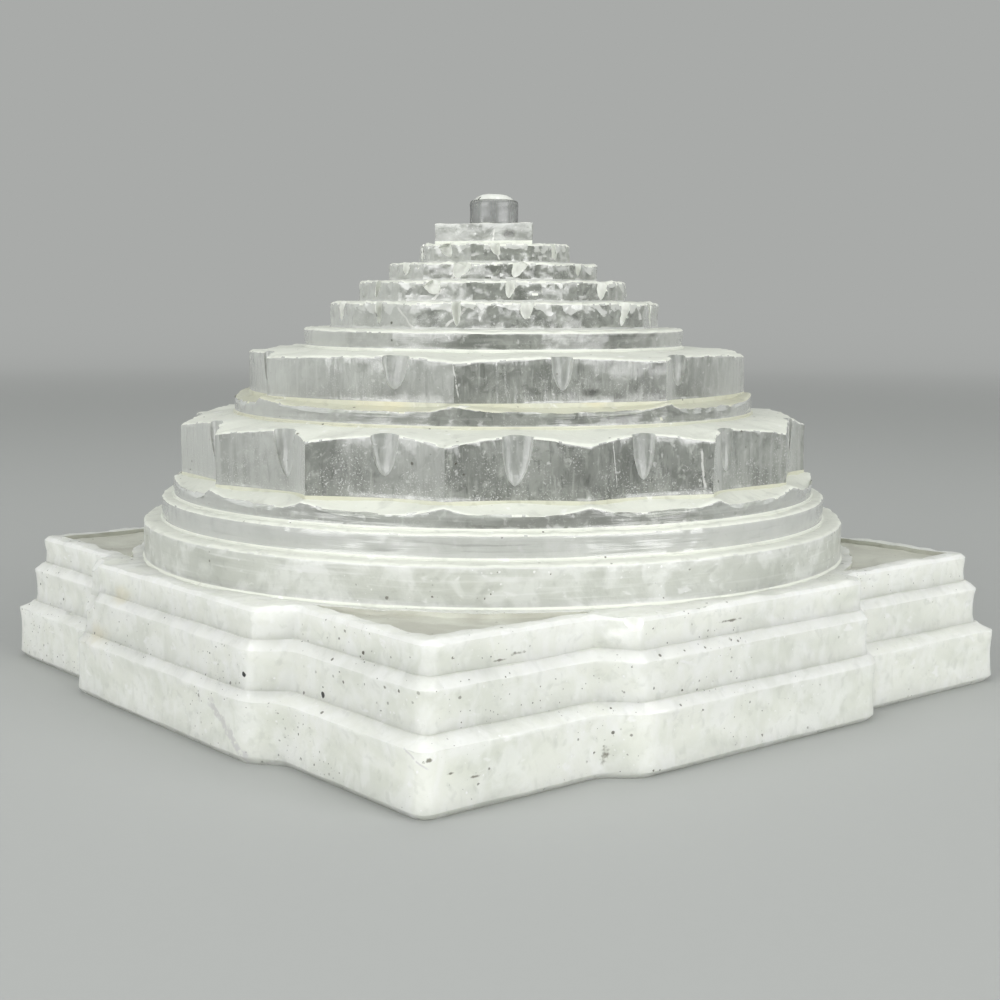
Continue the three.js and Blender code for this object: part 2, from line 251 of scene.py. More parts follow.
class StarSizes(bpy.types.PropertyGroup):
    tips: lengths(
        "Point radii", "Radius of each star tier at its points", 0.0174, 0.0144, 0.0113, 0.0081
    )
    fall: length("Point fall", "How far a star draws in between two points", 0.00045)
    notch_depth: length("Notch depth", "Depth of the notch between two points", 0.0009)
    notch_width: length("Notch width", "Width of the notch at its mouth", 0.0017)
    rim_wear: length("Rim wear", "Unevenness worked into a star's rim", 0.0005)
    triangle: length("Triangle reach", "Reach of the triangle's corners before easing", 0.0063)
    crown: length("Bindu crown", "Rise of the bindu's crown", 0.0007)


class CrystalColours(bpy.types.PropertyGroup):
    milk: shade("Milk", "Milky crystal of the plinth", 0.85, 0.87, 0.785)
    veil: shade("Veil", "Greyer veils inside the milky crystal", 0.69, 0.715, 0.64)
    wall: shade("Clear wall", "Polished walls of the upper tiers", 0.465, 0.485, 0.445)
    deep: shade("Deep wall", "Darkest cloud in a polished wall", 0.18, 0.19, 0.17)
    frost: shade("Frost", "Frosted ledges and worn edges", 0.84, 0.86, 0.775)
    stain: shade("Stain", "Faint yellow stain", 0.78, 0.72, 0.50)
    speck: shade("Speck", "Dark mineral specks", 0.09, 0.08, 0.055)
    floor: shade("Floor", "Floor and backdrop", 0.40, 0.41, 0.40)


# ---------------------------------------------------------------- modelling helpers


def clear_selection():
    if bpy.context.mode != "OBJECT":
        bpy.ops.object.mode_set(mode="OBJECT")
    bpy.ops.object.select_all(action="DESELECT")


def select_piece(piece):
    clear_selection()
    piece.select_set(True)
    bpy.context.view_layer.objects.active = piece


def start_edit(piece):
    select_piece(piece)
    bpy.ops.object.mode_set(mode="EDIT")
    bpy.ops.mesh.select_mode(type="VERT")


def settle(name):
    """Names the new primitive and puts its place into its mesh."""
    piece = bpy.context.object
    piece.name = piece.data.name = name
    bpy.ops.object.transform_apply(location=True, rotation=True, scale=True)
    return piece


def join(pieces):
    """Joins selected pieces into one."""
    for piece in pieces:
        piece.select_set(True)
    bpy.context.view_layer.objects.active = pieces[0]
    bpy.ops.object.join()
    return bpy.context.object


def show_selection(piece, mesh):
    mesh.select_flush_mode()
    bmesh.update_edit_mesh(piece.data, loop_triangles=False, destructive=False)


def pick(piece, wanted):
    """In edit mode, selects the vertices that wanted(place) accepts."""
    mesh = bmesh.from_edit_mesh(piece.data)
    for vert in mesh.verts:
        vert.select = bool(wanted(vert.co))
    show_selection(piece, mesh)


def pick_numbers(piece, numbers):
    """In edit mode, selects vertices by their numbers."""
    bpy.ops.mesh.select_all(action="DESELECT")
    mesh = bmesh.from_edit_mesh(piece.data)
    mesh.verts.ensure_lookup_table()
    for number in numbers:
        mesh.verts[number].select = True
    show_selection(piece, mesh)


def pick_upright_edges(piece, wanted=lambda line: True):
    """In edit mode, selects the upright edges that wanted(edge) accepts."""
    bpy.ops.mesh.select_all(action="DESELECT")
    mesh = bmesh.from_edit_mesh(piece.data)
    for line in mesh.edges:
        rise = abs(line.verts[0].co.z - line.verts[1].co.z)
        line.select_set(rise > 1e-5 and wanted(line))
    bmesh.update_edit_mesh(piece.data)


def widen(factor):
    bpy.ops.transform.resize(value=(factor, factor, 1), center_override=(0, 0, 0))


def move(offset):
    bpy.ops.transform.translate(value=tuple(offset), orient_type="GLOBAL")


def cut(place, normal):
    bpy.ops.mesh.select_all(action="SELECT")
    bpy.ops.mesh.bisect(plane_co=tuple(place), plane_no=tuple(normal))


def smooth_step(t):
    t = min(max(t, 0.0), 1.0)
    return t * t * (3 - 2 * t)


def modify(piece, name, kind, **settings):
    """Adds a modifier with its settings and applies it."""
    modifier = piece.modifiers.new(name, kind)
    for key, value in settings.items():
        setattr(modifier, key, value)
    select_piece(piece)
    bpy.ops.object.modifier_apply(modifier=name)


def mark_out(piece, wanted):
    """Vertex group of the places that wanted(place) accepts."""
    start_edit(piece)
    pick(piece, wanted)
    bpy.ops.object.vertex_group_assign_new()
    select_piece(piece)
    return piece.vertex_groups[-1].name


def soften(piece, rounds, wanted):
    """Lips and corners worn round, as if half melted, where wanted(place) accepts them."""
    group = mark_out(piece, wanted)
    modify(piece, "softened lips", "SMOOTH", factor=0.5, iterations=rounds, vertex_group=group)


def undulate(piece, name, size, strength, wanted):
    """Hand-worked unevenness: a cloud pattern pushed into the places that wanted accepts."""
    clouds = bpy.data.textures.new(name, "CLOUDS")
    clouds.noise_scale, clouds.noise_depth = size, 2
    group = mark_out(piece, wanted)
    modify(
        piece, name, "DISPLACE", texture=clouds, texture_coords="LOCAL", strength=strength,
        mid_level=0.5, vertex_group=group,
    )


def ease_edges(piece, width, angle, segments=2):
    """Worn edges: a narrow bevel wherever two faces meet sharply."""
    modify(
        piece, "worn edges", "BEVEL", width=width, segments=segments, limit_method="ANGLE",
        angle_limit=math.radians(angle), use_clamp_overlap=True,
    )


def carve(piece, cutter):
    """Takes the cutter's shape out of the piece; the cut faces keep the cutter's finish."""
    modify(
        piece, "carving", "BOOLEAN", operation="DIFFERENCE", solver="EXACT",
        material_mode="TRANSFER", object=cutter,
    )
    select_piece(cutter)
    bpy.ops.object.delete()


def drop_idle_corners(piece):
    """In edit mode, takes out corners with two edges, where two faces could fold together."""
    mesh = bmesh.from_edit_mesh(piece.data)
    for vert in mesh.verts:
        vert.select = len(vert.link_edges) == 2
    show_selection(piece, mesh)
    bpy.ops.mesh.dissolve_verts()


def finish_piece(piece, nodes, angle=30):
    """Outward faces, crisp arrises, and its place in the model."""
    start_edit(piece)
    bpy.ops.mesh.select_all(action="SELECT")
    bpy.ops.mesh.remove_doubles(threshold=WELD)
    drop_idle_corners(piece)
    bpy.ops.mesh.select_all(action="SELECT")
    bpy.ops.mesh.normals_make_consistent(inside=False)
    select_piece(piece)
    piece.vertex_groups.clear()
    bpy.ops.object.shade_smooth_by_angle(angle=math.radians(angle))
    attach(piece, "root")
    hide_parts(*nodes)


def dress(piece, finish_for):
    """Gives each face the finish that finish_for(centre, normal, finish now, corners) returns."""
    finishes = piece.data.materials
    places = piece.data.vertices
    for face in piece.data.polygons:
        now = finishes[face.material_index].name if finishes else ""
        corners = [places[number].co for number in face.vertices]
        wanted = finish_for(face.center, face.normal, now, corners)
        number = finishes.find(wanted.name)
        if number < 0:
            finishes.append(wanted)
            number = len(finishes) - 1
        face.material_index = number


def all_within(corners, reach):
    return all(math.hypot(p.x, p.y) < reach for p in corners)


def underside(centre, normal, foot):
    return centre.z < foot and normal.z < -0.5


def seat_finish(foot, top, seat, wall, ledge, keep=(), level_above=0.0, fillet=0.0, low=None):
    """Finish by place: hidden seats pass light on, level faces are frosted, the rest is wall.

    The fillet and what stands below it have the finish low."""

    def choose(centre, normal, now, corners):
        covered = centre.z > top - 0.5 * MM and all_within(corners, seat)
        if covered or underside(centre, normal, foot):
            return FINISHES["hidden seat"]
        if now in keep:
            return FINISHES[now]
        if centre.z < foot + fillet:
            return low or ledge
        return ledge if normal.z > 0.45 and centre.z > level_above else wall

    return choose


def raise_drum(name, profile, sides, turn=0.0):
    """Round tier grown from its foot: its roof is extruded and resized to each (height, radius)."""
    (foot, first), (z, radius) = profile[:2]
    clear_selection()
    bpy.ops.mesh.primitive_cone_add(
        vertices=sides, radius1=first, radius2=radius, depth=z - foot,
        location=(0, 0, (z + foot) / 2), rotation=(0, 0, turn),
    )
    drum = settle(name)
    start_edit(drum)
    pick(drum, lambda p: abs(p.z - z) < 1e-7)
    for height, reach in profile[2:]:
        bpy.ops.mesh.extrude_region_move(
            TRANSFORM_OT_translate={"value": (0, 0, height - z), "orient_type": "GLOBAL"}
        )
        widen(reach / radius)
        z, radius = height, reach
    return drum


def fill_round(seen, count):
    """The azimuths that were seen, then even ones round the side that wasn't."""
    gap = (360 + seen[0] - seen[-1]) / (count - len(seen) + 1)
    hidden = [seen[-1] + gap * k for k in range(1, count - len(seen) + 1)]
    return sorted(math.radians((a + 180) % 360 - 180) for a in (*seen, *hidden))


def between(azimuths):
    """Azimuth midway between each two neighbours."""
    after = [*azimuths[1:], azimuths[0] + 2 * math.pi]
    return [(a + b) / 2 for a, b in zip(azimuths, after)]


def share_reader(tips, grooves):
    """Share of the way from the nearest tip (0) to the nearest groove (1), for any azimuth."""
    marks = sorted([(a % math.tau, 0.0) for a in tips] + [(a % math.tau, 1.0) for a in grooves])
    first, last = marks[0], marks[-1]
    marks = [(last[0] - math.tau, last[1]), *marks, (first[0] + math.tau, first[1])]

    def share(azimuth):
        azimuth %= math.tau
        for (a, low), (b, high) in zip(marks, marks[1:]):
            if a <= azimuth <= b:
                return low + (high - low) * (azimuth - a) / (b - a)
        return 0.0

    return share


def bullet(name, width, length, finish):
    """Pointed grinding cutter, standing on its point at the origin."""
    half = width / 2
    rows = ((0.0, 0.03), (0.03, 0.20), (0.10, 0.40), (0.24, 0.62), (0.45, 0.81), (0.70, 0.94))
    profile = [(rise * length, reach * half) for rise, reach in (*rows, (1.0, 1.0))]
    cutter = raise_drum(name, profile, 32)
    clear_selection()
    cutter.data.materials.append(finish)
    return cutter


def grind_scoops(piece, places, finish):
    """Cutters copied to each (azimuth, radius, foot, brow, width, depth, lean), then taken out."""
    model = bullet("scoop", 1.0, 1.0, finish)
    cutters = []
    for azimuth, radius, foot, brow, width, depth, lean in places:
        select_piece(model)
        bpy.ops.object.duplicate()
        cutter = bpy.context.object
        cutter.matrix_world = (
            Matrix.Translation((radius * math.cos(azimuth), radius * math.sin(azimuth), foot))
            @ Matrix.Rotation(azimuth, 4, "Z")
            @ Matrix.Rotation(lean, 4, "X")
            @ Matrix.Diagonal((2 * depth, width, (brow - foot) * 1.2, 1))
        )
        bpy.ops.object.transform_apply(location=True, rotation=True, scale=True)
        cutters.append(cutter)
    select_piece(model)
    bpy.ops.object.delete()
    carve(piece, join(cutters))


# ---------------------------------------------------------------- crystal finishes


class Wire:
    """What runs between two nodes of a finish, so that sums on it read as plain arithmetic."""

    def __init__(self, tree, socket):
        self.tree, self.socket = tree, socket

    def sum(self, operation, first, second=0.0, third=0.0):
        settings = {"operation": operation}
        return add_node(self.tree, "ShaderNodeMath", settings, i0=first, i1=second, i2=third)[0]

    def __mul__(self, other):
        return self.sum("MULTIPLY", self, other)

    def __sub__(self, other):
        return self.sum("SUBTRACT", self, other)

    def __rsub__(self, other):
        return self.sum("SUBTRACT", other, self)

    def __truediv__(self, other):
        return self.sum("DIVIDE", self, other)

    def __abs__(self):
        return self.sum("ABSOLUTE", self)

    def times_add(self, factor, more):
        return self.sum("MULTIPLY_ADD", self, factor, more)

    def vector(self, operation, **other):
        return add_node(
            self.tree, "ShaderNodeVectorMath", {"operation": operation}, i0=self, **other
        )

    def length(self):
        return self.vector("LENGTH")["Value"]

    def dot(self, other):
        return self.vector("DOT_PRODUCT", i1=other)["Value"]

    def noise(self, scale, detail=3.0, distortion=0.0, out=0):
        return add_node(
            self.tree, "ShaderNodeTexNoise", Vector=self, Scale=scale, Detail=detail,
            Distortion=distortion,
        )[out]

    def ramp(self, low, high):
        """0 at low, 1 at high, eased between."""
        settings = {"interpolation_type": "SMOOTHSTEP"}
        return add_node(self.tree, "ShaderNodeMapRange", settings, i0=self, i1=low, i2=high)[0]


def wires(tree, sockets):
    """Wires from a node's outputs, by number and by name."""
    named = {socket.name: Wire(tree, socket) for socket in sockets}
    return {**named, **{number: Wire(tree, socket) for number, socket in enumerate(sockets)}}


def feed(socket, value):
    """Links a wire into a socket, or sets the socket to a plain value."""
    if isinstance(value, Wire):
        value.tree.links.new(value.socket, socket)
    else:
        socket.default_value = value


def add_node(tree, kind, settings=None, **inputs):
    """The wires out of a new node, with its settings and a value for each input."""
    node = tree.nodes.new(kind)
    for key, value in (settings or {}).items():
        setattr(node, key, value)
    for key, value in inputs.items():
        numbered = key[0] == "i" and key[1:].isdigit()
        feed(node.inputs[int(key[1:]) if numbered else key.replace("_", " ")], value)
    return wires(tree, node.outputs)


def new_group(name, inputs, *outputs):
    """A node group with numbers or vectors in and numbers out."""
    group = bpy.data.node_groups.new(name, "ShaderNodeTree")
    for label, default in inputs.items():
        kind = "NodeSocketVector" if hasattr(default, "__len__") else "NodeSocketFloat"
        socket = group.interface.new_socket(name=label, in_out="INPUT", socket_type=kind)
        socket.default_value = default
    for label in outputs:
        group.interface.new_socket(name=label, in_out="OUTPUT", socket_type="NodeSocketFloat")
    entry, leave = group.nodes.new("NodeGroupInput"), group.nodes.new("NodeGroupOutput")
    return group, wires(group, entry.outputs), leave.inputs


def blend(factor, a, b):
    node = factor.tree.nodes.new("ShaderNodeMix")
    node.data_type = "RGBA"
    feed(node.inputs[0], factor)
    for number, value in ((6, a), (7, b)):
        feed(node.inputs[number], value if isinstance(value, Wire) else (*value[:3], 1))
    return Wire(factor.tree, node.outputs[2])


def object_place(tree):
    return add_node(tree, "ShaderNodeTexCoord")["Object"]


def veil_group():
    """Cloud-like veils, and small bright flaws painted as glints of light on fracture planes inside
    the crystal.
    """
    group, inputs, outputs = new_group(
        "crystal veils", {"Stretch": PLAIN, "Scale": 90.0}, "Veil", "Flaw"
    )
    place = object_place(group).vector("MULTIPLY", i1=inputs["Stretch"])[0]
    feed(outputs["Veil"], place.noise(inputs["Scale"], 5.0, 0.9).ramp(0.38, 0.66))
    feed(outputs["Flaw"], place.noise(inputs["Scale"] * 7.0, 3.0, 0.3).ramp(0.64, 0.74))
    return group


def speck_group():
    """Scattered dark mineral specks, gathered in patches."""
    group, inputs, outputs = new_group("dark specks", {"Scale": 1400.0, "Share": 0.5}, "Speck")
    place = object_place(group)
    stir = place.noise(5200.0, 1.0, out=1).vector("MULTIPLY", i1=(0.00016, 0.00016, 0.00016))[0]
    stirred = place.vector("ADD", i1=stir)[0]
    cells = add_node(
        group, "ShaderNodeTexVoronoi", Vector=stirred, Scale=inputs["Scale"], Randomness=1.0
    )
    parts = add_node(group, "ShaderNodeSeparateColor", i0=cells["Color"])
    chance, girth, tone = parts[0], parts[1], parts[2]
    limit = inputs["Share"] * place.noise(110.0, 2.0).ramp(0.40, 0.66)
    chosen = chance.sum("LESS_THAN", chance, limit)
    soft = (girth.times_add(0.16, 0.08) - cells["Distance"]).ramp(0.0, 0.09)
    feed(outputs["Speck"], chosen * soft * tone.times_add(0.65, 0.35))
    return group


def crack_group():
    """Thin broken line where a crack inside the crystal meets its surface."""
    group, inputs, outputs = new_group(
        "crack at the surface", {"Place": (0, 0, 0), "Across": (1000, 0, 0), "Half": 0.002}, "Mask"
    )
    here = object_place(group)
    away = here.vector("SUBTRACT", i1=inputs["Place"])[0]
    line = abs((here.noise(700.0, 4.0) - 0.5).times_add(4.0, away.dot(inputs["Across"])))
    shown = line.ramp(1.3, 0.6) * (away.length() / inputs["Half"]).ramp(1.1, 0.8)
    feed(outputs["Mask"], shown * here.noise(2600.0, 2.0).ramp(0.30, 0.48))
    return group


def drift_group():
    """Frost on a wall: loose dots gathered low on it, and solid frost running from its rim."""
    group, inputs, outputs = new_group(
        "frost on a wall", {"Foot": 0.0, "Rise": 0.004, "Low": 0.5, "High": 0.5}, "Dots", "Drip"
    )
    place = object_place(group)
    up = add_node(group, "ShaderNodeSeparateXYZ", i0=place)[2]
    rise = (up - inputs["Foot"]) / inputs["Rise"]
    gathered = (place.noise(330.0, 3.0) - rise * 0.28).ramp(0.30, 0.50)
    dots = place.noise(6400.0, 1.0).ramp(0.58, 0.70)
    feed(outputs["Dots"], dots * gathered * inputs["Low"])
    runs = place.noise(520.0, 4.0, 0.8).times_add(2.6, rise)
    feed(outputs["Drip"], runs.ramp(2.08, 2.22) * inputs["High"])
    return group


def mark_group():
    """One mark at a place in the crystal, ragged or soft at its edge."""
    group, inputs, outputs = new_group(
        "mark in the crystal",
        {"Place": (0, 0, 0), "Reach": (0.0005,) * 3, "Ragged": 0.5, "Grain": 2600.0, "Inner": 0.8},
        "Mask",
    )
    here = object_place(group)
    away = here.vector("SUBTRACT", i1=inputs["Place"])[0]
    reach = away.vector("DIVIDE", i1=inputs["Reach"])[0].length()
    uneven = here.noise(inputs["Grain"], 2.0) - 0.5
    inside = 1.1 - uneven.times_add(inputs["Ragged"], reach)
    feed(outputs["Mask"], (inside / (1.1 - inputs["Inner"])).ramp(0.0, 1.0))
    return group


def tool_mark_group():
    """Fine parallel marks of grinding and polishing."""
    group, inputs, outputs = new_group(
        "tool marks", {"Stretch": (900, 900, 70)}, "Streak", "Shade", "Height"
    )
    place = object_place(group).vector("MULTIPLY", i1=inputs["Stretch"])[0]
    streaks = place.noise(1.0, 4.0, 0.3)
    feed(outputs["Streak"], streaks.ramp(0.54, 0.72))
    feed(outputs["Shade"], streaks.ramp(0.42, 0.28))
    feed(outputs["Height"], streaks)
    return group


def edge_wear_and_highlight_group():
    """How level a surface lies, and where it turns over a worn edge, whose white band is frosted
    wear and a painted highlight.
    """
    group, inputs, outputs = new_group("lie of the surface", {"Ragged": 0.12}, "Edge")
    coords = add_node(group, "ShaderNodeTexCoord")
    up = add_node(group, "ShaderNodeSeparateXYZ", i0=coords["Normal"])[2]
    lie = (coords["Object"].noise(900.0) - 0.5).times_add(inputs["Ragged"], up)
    feed(outputs["Edge"], lie.ramp(0.10, 0.35) * (1.0 - lie.ramp(0.75, 0.97)))
    return group


def place_group(tree, name, **inputs):
    node = tree.nodes.new("ShaderNodeGroup")
    node.node_tree = GROUPS[name]
    for key, value in inputs.items():
        feed(node.inputs[key], value)
    return wires(tree, node.outputs)


def start_finish(name, scale, stretch=PLAIN):
    """A new finish: its tree, its shader and the veils in the crystal."""
    material = bpy.data.materials.new(name)
    material.use_nodes = True
    FINISHES[name] = material
    tree = material.node_tree
    veils = place_group(tree, "veils", Stretch=stretch, Scale=scale)
    return tree, tree.nodes["Principled BSDF"], veils


def set_shader(
    tree, shader, colour, roughness, height=None, strength=0.2, distance=0.0002, **plain
):
    """Feeds the shader its colour and roughness, its plain values and the relief that it shows."""
    feed(shader.inputs["Base Color"], colour)
    feed(shader.inputs["Roughness"], roughness)
    for key, value in {"IOR": QUARTZ_IOR, **plain}.items():
        shader.inputs[key.replace("_", " ")].default_value = value
    if height is not None:
        bump = add_node(
            tree, "ShaderNodeBump", Height=height, Strength=strength, Distance=distance
        )
        feed(shader.inputs["Normal"], bump[0])


def scaled(colour, share):
    return tuple(c * share for c in colour)


def coats(colour, *layers):
    """Lays coats over a colour: each is a mask, its strength and its tint."""
    for mask, strength, tint in layers:
        colour = blend(mask if strength == 1 else mask * strength, colour, tint)
    return colour


def with_specks(tree, colour, colours, share, scale=1400.0):
    specks = place_group(tree, "specks", Scale=scale, Share=share)["Speck"]
    return blend(specks, colour, colours.speck)


def with_marks(tree, colour, marks, tint, strength, ragged, grain, inner):
    for place, reach in marks:
        mask = place_group(
            tree, "mark", Place=scaled(place, MM), Reach=scaled(reach, MM), Ragged=ragged,
            Grain=grain, Inner=inner,
        )["Mask"]
        colour = blend(mask * strength, colour, tint)
    return colour


def with_cracks(tree, colour, cracks):
    for start, end, facing, width, tone in cracks:
        start, end, facing = Vector(start) * MM, Vector(end) * MM, math.radians(facing)
        outward = Vector((math.cos(facing), math.sin(facing), 0))
        along = end - start
        across = along.cross(outward).normalized() / (0.5 * width * MM)
        crack = place_group(
            tree, "crack", Place=(start + end) / 2, Across=across, Half=along.length / 2
        )
        colour = blend(crack["Mask"], colour, (tone, tone, tone * 0.96))
    return colour


def milky_finish(colours, name, milk, veil, stretch, share, clear):
    """Milky, softly translucent crystal with veils, stains and dark specks; its flaws and white
    flecks are painted glints, and its worn edges carry a painted highlight.
    """
    tree, shader, veils = start_finish(name, 85.0, (1, 1, 1.6))
    place = object_place(tree)
    marks = place_group(tree, "marks", Stretch=stretch)
    colour = coats(
        milk,
        (veils["Veil"], 0.75, veil),
        (place.noise(380.0, 5.0, 0.5).ramp(0.44, 0.64), 0.5, (0.93, 0.95, 0.90)),
        (place.noise(900.0, 5.0, 0.4).ramp(0.46, 0.28), 0.35, scaled(veil, 0.8)),
        (marks["Streak"], 0.35, WHITE),
        (marks["Shade"], 0.25, scaled(veil, 0.85)),
        # Bright flaws: painted glints of light on fracture planes
        (veils["Flaw"], 0.6, WHITE),
        # White flecks: painted sparkle
        (place_group(tree, "specks", Scale=1700.0, Share=0.7)["Speck"], 1, WHITE),
        # White band on worn edges: frosted wear and a painted highlight
        (place_group(tree, "lie", Ragged=0.35)["Edge"], 0.3, WHITE),
    )
    colour = with_marks(tree, colour, YELLOW_MARKS, colours.stain, 0.5, 1.2, 500.0, 0.1)
    colour = with_cracks(tree, colour, CRACKS)
    colour = with_specks(tree, colour, colours, share, 1150.0)
    colour = with_specks(tree, colour, colours, 0.7 * share, 2400.0)
    colour = with_marks(tree, colour, BROWN_MARKS, (0.16, 0.15, 0.11), 0.85, 2.6, 2000.0, 0.3)
    colour = with_marks(tree, colour, BLACK_MARKS, (0.012, 0.012, 0.01), 1.0, 0.9, 2600.0, 0.8)
    grain = place.noise(2200.0)
    set_shader(
        tree, shader, colour, grain.times_add(0.3, 0.22), marks["Height"].times_add(0.6, grain),
        strength=0.3, distance=0.00015, Transmission_Weight=clear, Coat_Weight=0.3,
        Coat_Roughness=0.2, Subsurface_Weight=0.7, Subsurface_Radius=(1.0, 1.0, 0.95),
        Subsurface_Scale=0.005,
    )


# worn sets the white band on the wall's edges: frosted wear and a painted highlight
def wall_finish(
    colours, name, node, light, dark, stretch, cloud, low, high, cracks=(), worn=0.8, polish=0.12
):
    """Polished crystal wall that shows into the block, with clouds, streaks, frost and wear,
    painted glints on its flaws, painted sheen at grazing angles and on its left-facing side, and a
    painted highlight along its worn edges.
    """
    tree, shader, veils = start_finish(name, cloud)
    place = object_place(tree)
    foot, top, _ = tier_span(node)
    marks = place_group(tree, "marks", Stretch=stretch)
    drift = place_group(tree, "drift", Foot=foot, Rise=top - foot, Low=low, High=high)
    mottle = place.noise(1000.0, 5.0, 0.6)
    bright = tuple(min(0.96, c * 1.6) for c in light)
    # Painted sheen: the wall is paler where it turns away from view, as reflected light would make
    # it
    turned = add_node(tree, "ShaderNodeLayerWeight", Blend=0.5)["Facing"]
    # Painted light: walls that face the left are paler, as if lit through from that side; not
    # computed
    painted_left_light = add_node(tree, "ShaderNodeTexCoord")["Normal"].dot((-0.772, 0.636, 0.0))
    colour = coats(
        light,
        (veils["Veil"], 0.75, dark),
        (place.noise(70.0, 1.0).ramp(0.62, 0.40), 0.35, dark),
        (mottle.ramp(0.46, 0.30), 0.6, dark),
        (mottle.ramp(0.56, 0.74), 0.5, bright),
        (marks["Shade"], 0.5, scaled(dark, 0.6)),
        (marks["Streak"], 0.3, bright),
        # Bright flaws: painted glints of light on fracture planes
        (veils["Flaw"], 0.6, WHITE),
        (drift["Dots"], 1, WHITE),
        (drift["Drip"], 1, WHITE),
        (turned.ramp(0.22, 0.75), 0.75, PAINTED_LIGHT_TINT),
        (painted_left_light.ramp(0.0, 0.9), 0.7, PAINTED_LIGHT_TINT),
        # White band on worn edges: frosted wear and a painted highlight
        (place_group(tree, "lie", Ragged=0.5)["Edge"], worn, WHITE),
    )
    colour = with_cracks(tree, colour, cracks)
    colour = with_marks(tree, colour, SMUDGES, (0.05, 0.05, 0.04), 0.8, 1.4, 1500.0, 0.2)
    # Painted highlight: the white oval on the eight-petal lotus's edge
    colour = with_marks(tree, colour, PAINTED_HIGHLIGHTS, WHITE, 1.0, 0.5, 1500.0, 0.7)
    colour = with_specks(tree, colour, colours, 0.1)
    set_shader(
        tree, shader, colour, marks["Streak"].times_add(0.1, polish),
        drift["Dots"].times_add(0.5, marks["Height"]), strength=0.5, distance=0.00015,
        Transmission_Weight=0.5, Coat_Weight=0.2, Coat_Roughness=polish,
    )


def frosted_finish(colours, name, tint, glint, clear):
    """Frosted, hand-ground surface with creamy stains, scratches and scattered glints."""
    tree, shader, veils = start_finish(name, 110.0)
    place = object_place(tree)
    colour = coats(
        tint,
        (veils["Veil"], 0.35, colours.veil),
        (place.noise(700.0, 4.0, 0.5).ramp(0.46, 0.30), 0.5, scaled(tint, 0.72)),
        (veils["Flaw"], glint, WHITE),
        (place_group(tree, "specks", Scale=2600.0, Share=0.5)["Speck"], glint, WHITE),
    )
    colour = with_marks(tree, colour, CREAM_MARKS, colours.stain, 0.6, 1.2, 500.0, 0.1)
    colour = with_specks(tree, colour, colours, 0.15)
    grain = place.noise(3200.0)
    set_shader(
        tree, shader, colour, grain.times_add(0.3, 0.36), grain, strength=0.35, distance=0.0001,
        Transmission_Weight=clear, Coat_Weight=0.1, Coat_Roughness=0.3,
    )


def hollow_finish(colours):
    """Rough ground floor of a corner hollow, darker and browner than the crystal round it."""
    tree, shader, veils = start_finish("hollow floor", 140.0)
    colour = blend(veils["Veil"], (0.62, 0.63, 0.55), (0.50, 0.50, 0.43))
    colour = with_specks(tree, colour, colours, 0.5)
    grain = object_place(tree).noise(1500.0)
    set_shader(tree, shader, colour, 0.5, grain, strength=0.6, Transmission_Weight=0.15)


def bindu_finish():
    """Clear polished crystal of the bindu, with a faint inner cloud and a painted dark reflection
    towards its silhouette.
    """
    tree, shader, veils = start_finish("bindu crystal", 260.0, (1, 1, 2.5))
    colour = blend(veils["Veil"], (0.69, 0.70, 0.69), (0.54, 0.55, 0.54))
    # Painted dark reflection: the bindu is darker where it turns away from view
    turned = add_node(tree, "ShaderNodeLayerWeight", Blend=0.5)["Facing"]
    colour = blend(turned.ramp(0.32, 0.80), colour, (0.20, 0.205, 0.20))
    marks = place_group(tree, "marks", Stretch=(1100, 1100, 200))
    set_shader(
        tree, shader, colour, marks["Streak"].times_add(0.1, 0.26), marks["Height"],
        strength=0.15, distance=0.0001, Transmission_Weight=0.92,
    )


def seat_pass():
    """Hidden seat between two tiers: the crystal carries on through it, so light does too."""
    tree, shader, veils = start_finish("hidden seat", 120.0)
    colour = blend(veils["Veil"], (0.99, 0.99, 0.99), (0.93, 0.94, 0.93))
    set_shader(tree, shader, colour, 0.0, IOR=1.0, Transmission_Weight=1.0)


